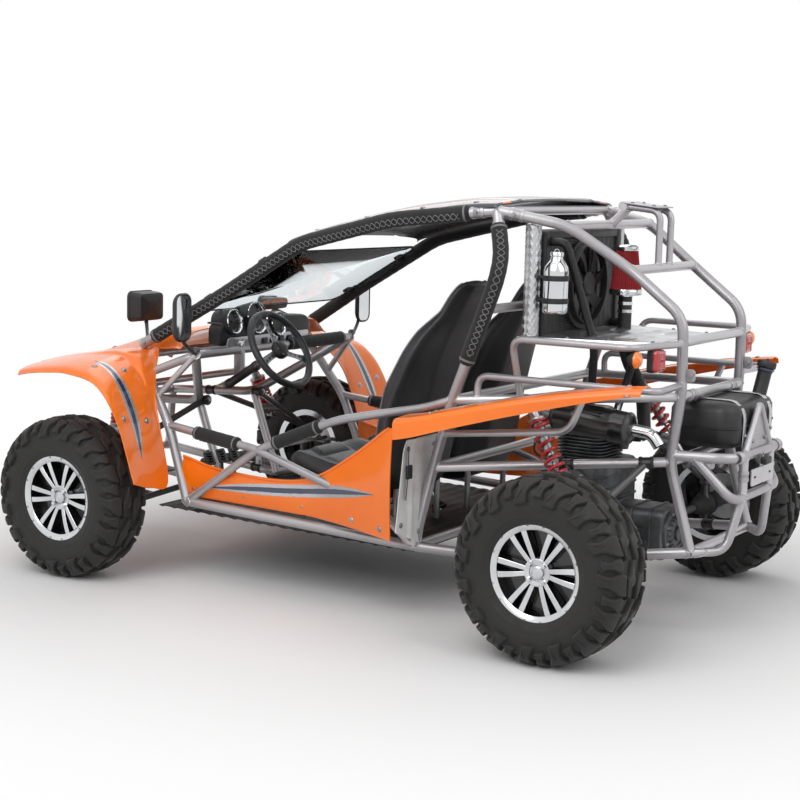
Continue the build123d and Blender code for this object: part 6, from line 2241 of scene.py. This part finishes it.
    def exhaust(self) -> None:
        """Build the muffler: a banded can with rolled end caps, a heat shield, a head pipe with flanges and a tail."""
        skin = Skin("muffler_can", (BLACK_STEEL, CHROME, BARE_STEEL, DARK_METAL))
        front, rear = spot(0.58, 0.4, 0.52), spot(0.58, 0.54, 0.5)
        way = rear - front
        length = norm(way)
        place = Place(front, RIGHT, way)
        can = [(0.0, -0.012), (0.03, -0.01), (0.05, -0.004), (0.058, 0.004), (0.06, 0.01), (0.0575, 0.013)]
        bands = [(radius, length * share + step) for share in (0.25, 0.75)
                 for radius, step in ((0.0575, 0.0), (0.059, 0.004), (0.059, 0.022), (0.0575, 0.026))]
        skin.spun(place, [*can, *bands, *[(r, length - z) for r, z in can[::-1]]], steps=56)
        tail = rear + unit(way) * 0.08
        skin.tube((rear - unit(way) * 0.01, tail, tail + (0.0, 0.03, -0.04)), 0.022, 0.03, 24, 1)
        skin.tube((front + unit(way) * 0.005, front - unit(way) * 0.07, (0.17, self.y - 0.12, 0.66),
                   (self.x + 0.02, self.y - 0.1, 0.66), (self.x, self.y - 0.06, 0.64)), 0.019, 0.06, 20, 2)
        slot = rounded(0.1, 0.006, 0.0029, 5)
        out = np.array((0.6, 0.0, 0.8))
        for k in (-1.5, -0.5, 0.5, 1.5):
            lean = unit(out * math.cos(k * 0.22) + np.cross(out, unit(way)) * math.sin(k * 0.22))
            skin.block(Place(between(front, rear, 0.5) + lean * 0.0565, way, lean), slot, 0.003, 0.001, 3)
        for share in (0.3, 0.82):
            at = between(front, rear, share)
            skin.tube((at + (0.0, 0.0, 0.05), at + (-0.02, 0.0, 0.1)), 0.007, 0.0, 12, 2)
        skin.build(replaces=("muffler",), sharp=38)

    def intake(self) -> None:
        """Build the air filter: a pleated red cone with chromed ends on a bent pipe from the carburettor.

        At angle a and height z the cone's radius is 57 - 18 z / h + 2.6 cos(44 a) mm.
        """
        skin = Skin("air_filter_cone", (RED_MESH, CHROME, BLACK_ABS))
        foot = np.array((-0.2, 0.8108, 1.165))
        place = Place(foot)
        turn = angles(264)
        level = np.linspace(0.0, 0.15, 12)
        radius = 0.057 - 0.018 * level[:, None] / 0.15 + 0.0026 * np.cos(44 * turn)
        cone = polar(radius, turn, level[:, None] + 0.022)
        skin.grid(place.out(capped(cone, (0.0, 0.0, 0.022), (0.0, 0.0, 0.172))), around=True)
        skin.spun(place, [(0.0, -0.004), (0.03, -0.004), (0.032, 0.0), (0.06, 0.002), (0.063, 0.006), (0.063, 0.02),
                          (0.061, 0.024), (0.0, 0.024)], steps=48, finish=1)
        skin.spun(place, [(0.0, 0.17), (0.042, 0.17), (0.044, 0.174), (0.043, 0.184), (0.034, 0.191), (0.0, 0.193)],
                  steps=48, finish=1)
        start = np.array((self.x - 0.02, self.y + 0.16, 0.6525))
        skin.tube((start, start + (0.0, 0.05, 0.0), (-0.2, 0.9, 0.8), (-0.2, 0.8108, 0.95), foot), 0.026, 0.08, 24, 2)
        for share in (0.03, 0.06):
            skin.spun(Place(foot - (0.0, 0.0, share)),
                      [(0.0255, -0.006), (0.0285, -0.006), (0.0285, 0.006), (0.0255, 0.006)], steps=32, finish=1)
        skin.build(sharp=40, slot="steel")

    def radiator(self) -> None:
        """Build the radiator: a finned core in a frame, tanks, a cap, a shrouded fan with swept blades and two hoses.

        The core's fins are a wave, y = d + 2.2 mm |sin(pi z / 6 mm)|, between flat tubes every 20 mm.
        """
        skin = Skin("radiator_core", (DARK_METAL, BLACK_ABS, SHEET_ALLOY, CHROME))
        y, z, half, tall = 0.6946, 1.2136, 0.32, 0.2
        for sign in (-1.0, 1.0):
            x = np.linspace(-half + 0.03, half - 0.03, 60)
            rise = np.linspace(-tall + 0.028, tall - 0.028, 230)
            wave = 0.0022 * np.abs(np.sin(math.pi * rise / 0.006))[:, None] + 0.002 * (np.arange(60) % 4 == 0)
            face = np.stack(np.broadcast_arrays(x[None, :], y + sign * (0.024 + wave), z + rise[:, None]), axis=-1)
            closed_sheet(skin, facing(face, (0.0, sign, 0.0)), 0.004)
        for sign in (-1.0, 1.0):
            bar = Place((0.0, y - 0.033, z + sign * (tall - 0.014)), -RIGHT, BACK)
            skin.block(bar, rounded(0.6, 0.032, 0.01), 0.066, 0.006, 1)
            post = Place((sign * (half - 0.016), y - 0.035, z), -RIGHT, BACK)
            skin.block(post, rounded(0.034, 0.4, 0.012), 0.07, 0.006, 1)
        hub_at = Place((0.0, y + 0.036, z), -RIGHT, BACK)
        skin.spun(hub_at, [(0.168, 0.0), (0.168, 0.004), (0.152, 0.006), (0.15, 0.026), (0.146, 0.028), (0.144, 0.026),
                           (0.145, 0.0), (0.168, 0.0)], steps=72, finish=1)
        skin.spun(hub_at, [(0.0, 0.0), (0.044, 0.0), (0.044, 0.02), (0.038, 0.026), (0.0, 0.028)], steps=36, finish=1)
        u, v = np.linspace(0, 1, 12)[:, None], np.linspace(-1, 1, 9)[None, :]
        radius = 0.042 + 0.098 * u
        for turn in angles(7):
            angle = turn + 0.3 * u ** 1.5 + v * (0.018 + 0.006 * u) / radius
            face = polar(radius, angle, 0.014 + 0.007 * v * (1 - 0.3 * u))
            closed_sheet(skin, facing(hub_at.out(face), BACK), 0.002, 1)
        for angle in angles(3) + 0.3:
            skin.tube(hub_at.out(polar((0.03, 0.15), angle, 0.003)), 0.004, 0.0, 8, 1)
        skin.spun(Place((-0.24, y, z + tall)),
                  [(0.0, -0.002), (0.022, -0.002), (0.022, 0.01), (0.028, 0.012), (0.028, 0.02), (0.012, 0.024),
                   (0.0, 0.024)], steps=32, finish=3)
        for x, up, end in ((0.27, 0.16, (0.16, 0.86, 1.0)), (-0.27, -0.16, (-0.15, 0.88, 0.93))):
            start = np.array((x, y + 0.03, z + up))
            skin.tube((start, start + (0.0, 0.06, 0.0), end, (end[0] * 0.6, end[1] - 0.04, 0.72)), 0.015, 0.06, 18, 1)
        skin.build(replaces=("radiator",), sharp=40)

    def columns(self) -> None:
        """Build the embossed alloy columns beside the radiator, the polished bottle in its bands, and the hooks."""
        skin = Skin("radiator_columns", (SHEET_ALLOY, CHROME, BLACK_ABS))
        y = 0.6946
        turn = angles(40)
        level = np.linspace(1.036, 1.44, 100)
        for side in SIDES:
            dimple = 0.0016 * np.cos(turn * 10) * np.sin((level[:, None] - 1.036) * TAU / 0.03)
            edge = np.clip(np.minimum(level - 1.036, 1.44 - level) / 0.006, 0, 1)[:, None]
            radius = (0.0285 + dimple * edge) * (0.8 + 0.2 * np.sqrt(edge))
            grid = polar(radius, turn, level[:, None]) + (side * 0.3503, y, 0.0)
            skin.grid(capped(grid, (side * 0.3503, y, 1.036), (side * 0.3503, y, 1.44)), around=True)
            hook = on_run("hoop_top", "rear_shoulder", 1, y, side)
            skin.tube(((side * 0.3503, y, 1.43), (side * 0.36, y, 1.452), hook), 0.007, 0.02, 12, 1)
        middle = Place((0.3503, y + 0.094, 1.125))
        skin.spun(middle, [(0.0, 0.0), (0.04, 0.0), (0.0445, 0.005), (0.045, 0.012), (0.045, 0.15), (0.042, 0.165),
                           (0.03, 0.184), (0.024, 0.19), (0.0225, 0.2), (0.025, 0.202), (0.025, 0.214), (0.022, 0.218),
                           (0.0, 0.219)], steps=56, finish=1)
        for share in (0.045, 0.125):
            skin.spun(middle.moved((0.0, 0.0, share)),
                      [(0.0448, -0.01), (0.0475, -0.009), (0.048, 0.0), (0.0475, 0.009), (0.0448, 0.01)], steps=48,
                      finish=2)
            skin.tube(((0.3503, y + 0.02, 1.125 + share), (0.3503, y + 0.05, 1.125 + share)), 0.008, 0.0, 12, 2)
        a = np.linspace(0, math.pi, 20)
        bail = np.stack([0.026 * np.cos(a), 0 * a, 0.205 + 0.022 * np.sin(a)], axis=1)
        skin.tube(middle.out(bail), 0.0016, 0.0, 8, 1)
        skin.build(sharp=45)

    def deck(self) -> None:
        """Build the engine deck: a beaded alloy plate with pressed louvres, bolts and turned-down edges."""
        skin = Skin("deck_plate", (SHEET_ALLOY, BARE_STEEL, DARK_METAL))
        y = np.linspace(0.667, 1.139, 60)
        half = np.interp(y, (0.667, 1.139), (0.405, 0.262))
        u = np.concatenate([[-1.0, -0.995], np.linspace(-0.985, 0.985, 70), [0.995, 1.0]])
        drop = np.where(np.abs(u) > 0.99, (np.abs(u) - 0.99) * 100 * 0.012, 0.0)
        x = half[:, None] * u
        bead = 0.0035 * hump(np.abs(u), 0.88, 0.012)
        inside = 1 / (1 + np.exp((np.abs(np.abs(x) - 0.125) - 0.075) / 0.004))
        pressed = 0.007 * inside * sum(hump(y[:, None], 0.735 + k * 0.075, 0.012) for k in range(5))
        face = np.stack([x, np.broadcast_to(y[:, None], x.shape), 1.0378 + bead + pressed - drop], axis=-1)
        closed_sheet(skin, facing(face, UP), 0.0025)
        for side in SIDES:
            for share in (0.03, 0.35, 0.65, 0.97):
                at = np.array((side * (0.405 - 0.143 * share) * 0.94, 0.667 + 0.472 * share, 1.0385))
                bolt(skin, at, UP, 0.006, 1)
        skin.build(replaces=("rear_deck",), sharp=40)

    def tank(self) -> None:
        """Build the fuel tank: a blow-moulded body with a pinch seam, two straps, a neck, its ring and its cap."""
        skin = Skin("fuel_tank_shell", (TANK_BLACK, BARE_STEEL, BLACK_ABS, BLUE_PAINT, SILVER_ABS))
        centre = np.array((-0.03, 1.286, 0.0))
        outline = rounded(0.44, 0.26, 0.07, 9)
        rows = ((0.676, 0.03), (0.682, 0.012), (0.7, 0.002), (0.745, 0.0), (0.7475, -0.004), (0.7515, -0.004),
                (0.754, 0.0), (0.805, 0.002), (0.824, 0.012), (0.834, 0.03), (0.838, 0.06))
        layers = np.stack(layered(outline, ((d, z) for z, d in rows)))
        skin.grid(capped(layers, (0.0, 0.0, rows[0][0]), (0.0, 0.0, rows[-1][0])) + centre, around=True)
        for shift in (-0.13, 0.13):
            band = np.array([(shift, -0.132, 0.672), (shift, -0.134, 0.8), (shift, -0.1, 0.842), (shift, 0.1, 0.842),
                             (shift, 0.134, 0.8), (shift, 0.132, 0.672)]) + centre
            path = divided(eased(band, 0.035), 0.01)
            skin.grid(carried(path, rounded(0.026, 0.003, 0.0012, 3)[:, ::-1]), around=True, finish=4)
            bolt(skin, centre + (shift, 0.137, 0.72), BACK, 0.006, 1)
        foot, top = np.array((-0.197, 1.351, 0.79)), np.array((-0.223, 1.377, 0.955))
        way = top - foot
        neck = Place(foot, RIGHT, way)
        length = norm(way)
        skin.spun(neck, [(0.0, 0.0), (0.034, 0.0), (0.03, 0.03), (0.026, 0.04), (0.026, length - 0.042),
                         (0.0285, length - 0.04), (0.0285, length - 0.034), (0.0, length - 0.034)], steps=36)
        skin.spun(neck, [(0.027, length - 0.036), (0.033, length - 0.034), (0.0335, length - 0.028),
                         (0.027, length - 0.026)], steps=36, finish=3)
        turn = angles(108)
        knurl = 0.0008 * np.cos(36 * turn)
        cap = []
        for radius, level, share in ((0.0, -0.026, 0), (0.031, -0.026, 0), (0.034, -0.023, 1), (0.034, -0.004, 1),
                                     (0.031, 0.0, 0), (0.024, 0.002, 0), (0.022, 0.0, 0), (0.0, 0.0, 0)):
            cap.append(polar(radius + knurl * share, turn, length + level))
        skin.grid(neck.out(np.stack(cap)), around=True, finish=2)
        grip = Place(neck.out((0.0, 0.0, length)), (1.0, 0.3, 0.0), way)
        skin.block(grip, rounded(0.04, 0.01, 0.004), 0.009, 0.003, 2)
        skin.build(replaces=("fuel_tank",), sharp=45)

    def lamps(self) -> None:
        """Build the tail lamps and turn signals: housings with faceted lenses on bolted tabs under the guard rails."""
        skin = Skin("tail_lamp_cases", (BLACK_ABS, RED_LENS, BARE_STEEL))
        amber = Skin("signal_lenses", (AMBER_LENS, BLACK_ABS))
        end = axle_y(False) + 0.52 * AXLE_HEIGHT
        level = AXLE_HEIGHT * 3.29
        for side in SIDES:
            anchor = on_run("rear_bend", "rear_corner", 2, level, side)
            run = (np.array((side * 0.555, end, level)), anchor)
            at = between(*run, 0.5) - (0.0, 0.0, 0.05)
            face = Place(at, -RIGHT, BACK)
            skin.block(Place(at - (0.0, 0.022, 0.0), -RIGHT, BACK), rounded(0.08, 0.08, 0.014), 0.024, 0.005)
            outline = rounded(0.074, 0.074, 0.012, 5)
            grow = [(0.0, 0.0), (0.0, 0.01), (0.004, 0.017), (0.012, 0.02)]
            for number in range(4):
                grow += [(0.012 + number * 0.006, 0.02), (0.015 + number * 0.006, 0.0185)]
            layers = layered(outline, ((min(d, 0.033), z) for d, z in grow))
            layers.append(np.broadcast_to((0.0, 0.0, 0.0185), (len(outline), 3)))
            skin.grid(face.out(np.stack(layers)), around=True, finish=1)
            skin.tube((at + (0.0, -0.01, 0.036), at + (0.0, -0.01, 0.05)), 0.008, 0.0, 12, 2)
            mark = between(*run, 0.08) - (0.0, 0.0, 0.04)
            cone = Place(mark - (0.0, 0.024, 0.0), -RIGHT, BACK)
            amber.spun(cone, [(0.0, -0.004), (0.012, -0.002), (0.026, 0.014), (0.03, 0.022), (0.03, 0.026),
                              (0.028, 0.026), (0.027, 0.034), (0.021, 0.042), (0.018, 0.041), (0.015, 0.045),
                              (0.012, 0.044), (0.009, 0.047), (0.0, 0.048)], steps=40,
                       rows=[1, 1, 1, 1, 1, 0, 0, 0, 0, 0, 0, 0])
            amber.tube((mark + (0.0, -0.004, 0.028), mark + (0.0, -0.004, 0.04)), 0.006, 0.0, 12, 1)
        skin.build(replaces=("tail_lamps",), sharp=35, slot="red_lens")
        amber.build(sharp=35, slot="red_lens")

    def build(self) -> None:
        """Build the drive."""
        self.engine()
        self.gearbox()
        self.exhaust()
        self.intake()
        self.radiator()
        self.columns()
        self.deck()
        self.tank()
        self.lamps()


# The camera and the studio

@dataclass
class Camera:
    """The photograph's viewpoint.

    Attributes:
        place: where the lens is.
        yaw: turn from looking along +Y, in degrees, to the left.
        pitch: tilt up from level, in degrees.
        roll: turn of the picture about the line of sight, in degrees.
        lens_mm: focal length on a sensor 36 mm wide.
    """

    place: tuple[float, float, float] = (5.5327, 3.3892, 1.5861)
    yaw: float = 122.0
    pitch: float = -7.734
    roll: float = 1.366
    lens_mm: float = 73.415

    def build(self) -> bpy.types.Object:
        """Make the camera, turned by yaw, then pitch, then roll, and set it as the scene's.

        Returns:
            The camera object.
        """
        yaw, pitch, roll = (math.radians(a) for a in (self.yaw, self.pitch, self.roll))
        ahead = Vector((-math.sin(yaw) * math.cos(pitch), math.cos(yaw) * math.cos(pitch), math.sin(pitch)))
        right = Vector((math.cos(yaw), math.sin(yaw), 0.0))
        up = right.cross(ahead)
        across = right * math.cos(roll) + up * math.sin(roll)
        upward = up * math.cos(roll) - right * math.sin(roll)
        lens = bpy.data.cameras.new("camera")
        lens.sensor_width = 36.0
        lens.lens = self.lens_mm
        camera = bpy.data.objects.new("camera", lens)
        camera.matrix_world = Matrix((across, upward, -ahead)).transposed().to_4x4()
        camera.location = Vector(self.place)
        bpy.context.scene.collection.objects.link(camera)
        bpy.context.scene.camera = camera
        return camera


@dataclass
class Studio:
    """Pale floor, white surround and soft lamps.

    Attributes:
        floor_half: half the floor's side.
        fade: distances from the middle between which the floor turns to plain white.
        lamps: place, side and power of each square lamp, which looks at the middle.
    """

    floor_half: float = 40.0
    fade: tuple[float, float] = (1.5, 3.0)
    lamps: tuple[tuple[tuple[float, float, float], float, float], ...] = (
        ((4.5, 0.5, 4.2), 4.0, 150.0),
        ((0.5, 4.5, 3.8), 4.0, 70.0),
        ((-3.5, -2.5, 4.5), 4.0, 60.0),
        ((0.0, 0.0, 5.5), 5.0, 40.0),
    )

    def seen_rays(self, tree: bpy.types.NodeTree) -> bpy.types.NodeSocket:
        """Give one for rays of the camera, of gloss and through glass, and zero for others."""
        rays = add_node(tree, "ShaderNodeLightPath")
        either = add_node(tree, "ShaderNodeMath", {"operation": "MAXIMUM"},
                          {0: rays.outputs["Is Camera Ray"], 1: rays.outputs["Is Glossy Ray"]})
        return add_node(tree, "ShaderNodeMath", {"operation": "MAXIMUM"},
                        {0: either.outputs[0], 1: rays.outputs["Is Transmission Ray"]}).outputs[0]

    def surround(self) -> None:
        """Make the world white to the eye and softer as a light."""
        world = bpy.data.worlds.new("surround")
        world.use_nodes = True
        tree = world.node_tree
        tree.nodes.clear()
        level = add_node(tree, "ShaderNodeMapRange", {}, {"Value": self.seen_rays(tree), "To Min": 0.38, "To Max": 1.0})
        light = add_node(tree, "ShaderNodeBackground", {}, {"Color": (1, 1, 1, 1), "Strength": level.outputs["Result"]})
        add_node(tree, "ShaderNodeOutputWorld", {}, {"Surface": light.outputs["Background"]})
        bpy.context.scene.world = world

    def floor(self) -> bpy.types.Object:
        """Make the floor, a plain square that fades to white away from the middle.

        Returns:
            The floor object.
        """
        made = bpy.data.materials.new("pale_floor")
        made.use_nodes = True
        tree = made.node_tree
        tree.nodes.clear()
        place = add_node(tree, "ShaderNodeTexCoord").outputs["Object"]
        away = add_node(tree, "ShaderNodeVectorMath", {"operation": "LENGTH"}, {0: place}).outputs["Value"]
        far = add_node(tree, "ShaderNodeMapRange", {"interpolation_type": "SMOOTHSTEP"},
                       {"Value": away, "From Min": self.fade[0], "From Max": self.fade[1]})
        share = add_node(tree, "ShaderNodeMath", {"operation": "MULTIPLY"},
                         {0: far.outputs["Result"], 1: self.seen_rays(tree)})
        matt = add_node(tree, "ShaderNodeBsdfPrincipled", {},
                        {"Base Color": linear("#F2F2F2"), "Roughness": 0.7, "Specular IOR Level": 0.2})
        white = add_node(tree, "ShaderNodeEmission", {}, {"Color": (1, 1, 1, 1), "Strength": 1.0})
        both = add_node(tree, "ShaderNodeMixShader", {},
                        {0: share.outputs[0], 1: matt.outputs["BSDF"], 2: white.outputs["Emission"]})
        add_node(tree, "ShaderNodeOutputMaterial", {}, {"Surface": both.outputs["Shader"]})
        side = self.floor_half
        mesh = bpy.data.meshes.new("floor")
        mesh.from_pydata([(-side, -side, 0), (side, -side, 0), (side, side, 0), (-side, side, 0)], [], [(0, 1, 2, 3)])
        mesh.materials.append(made)
        ground = bpy.data.objects.new("floor", mesh)
        bpy.context.scene.collection.objects.link(ground)
        return ground

    def build(self) -> None:
        """Make the surround, the floor and the lamps, and set the plain view transform."""
        self.surround()
        self.floor()
        for number, (place, side, power) in enumerate(self.lamps):
            light = bpy.data.lights.new(f"lamp_{number}", "AREA")
            light.size = side
            light.energy = power
            lamp = bpy.data.objects.new(light.name, light)
            lamp.location = place
            lamp.rotation_euler = (Vector((0, 0, 0.6)) - Vector(place)).to_track_quat("-Z", "Y").to_euler()
            bpy.context.scene.collection.objects.link(lamp)
        bpy.context.scene.view_settings.view_transform = "Standard"


def dress_nodes(frame: dict[str, Any]) -> None:
    """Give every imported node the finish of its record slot.
    """
    for entry in frame["record"]["subparts"]:
        node = frame["nodes"][entry["node"]]
        node.data.materials.clear()
        node.data.materials.append(SLOT_FINISH[entry["material_slot"]].material())


def main() -> None:
    """Load the frame, dress it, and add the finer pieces."""
    logging.basicConfig(level=logging.INFO, format="%(name)s: %(message)s")
    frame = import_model()
    Camera().build()
    Studio().build()
    dress_nodes(frame)
    for assembly in (TubeFrame(), PlateBracket(), Wheels(), Bodywork(), FoamCovers(), Cabin(), Suspension(),
                     Powertrain()):
        assembly.build()
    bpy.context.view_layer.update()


if __name__ == "__main__":
    main()
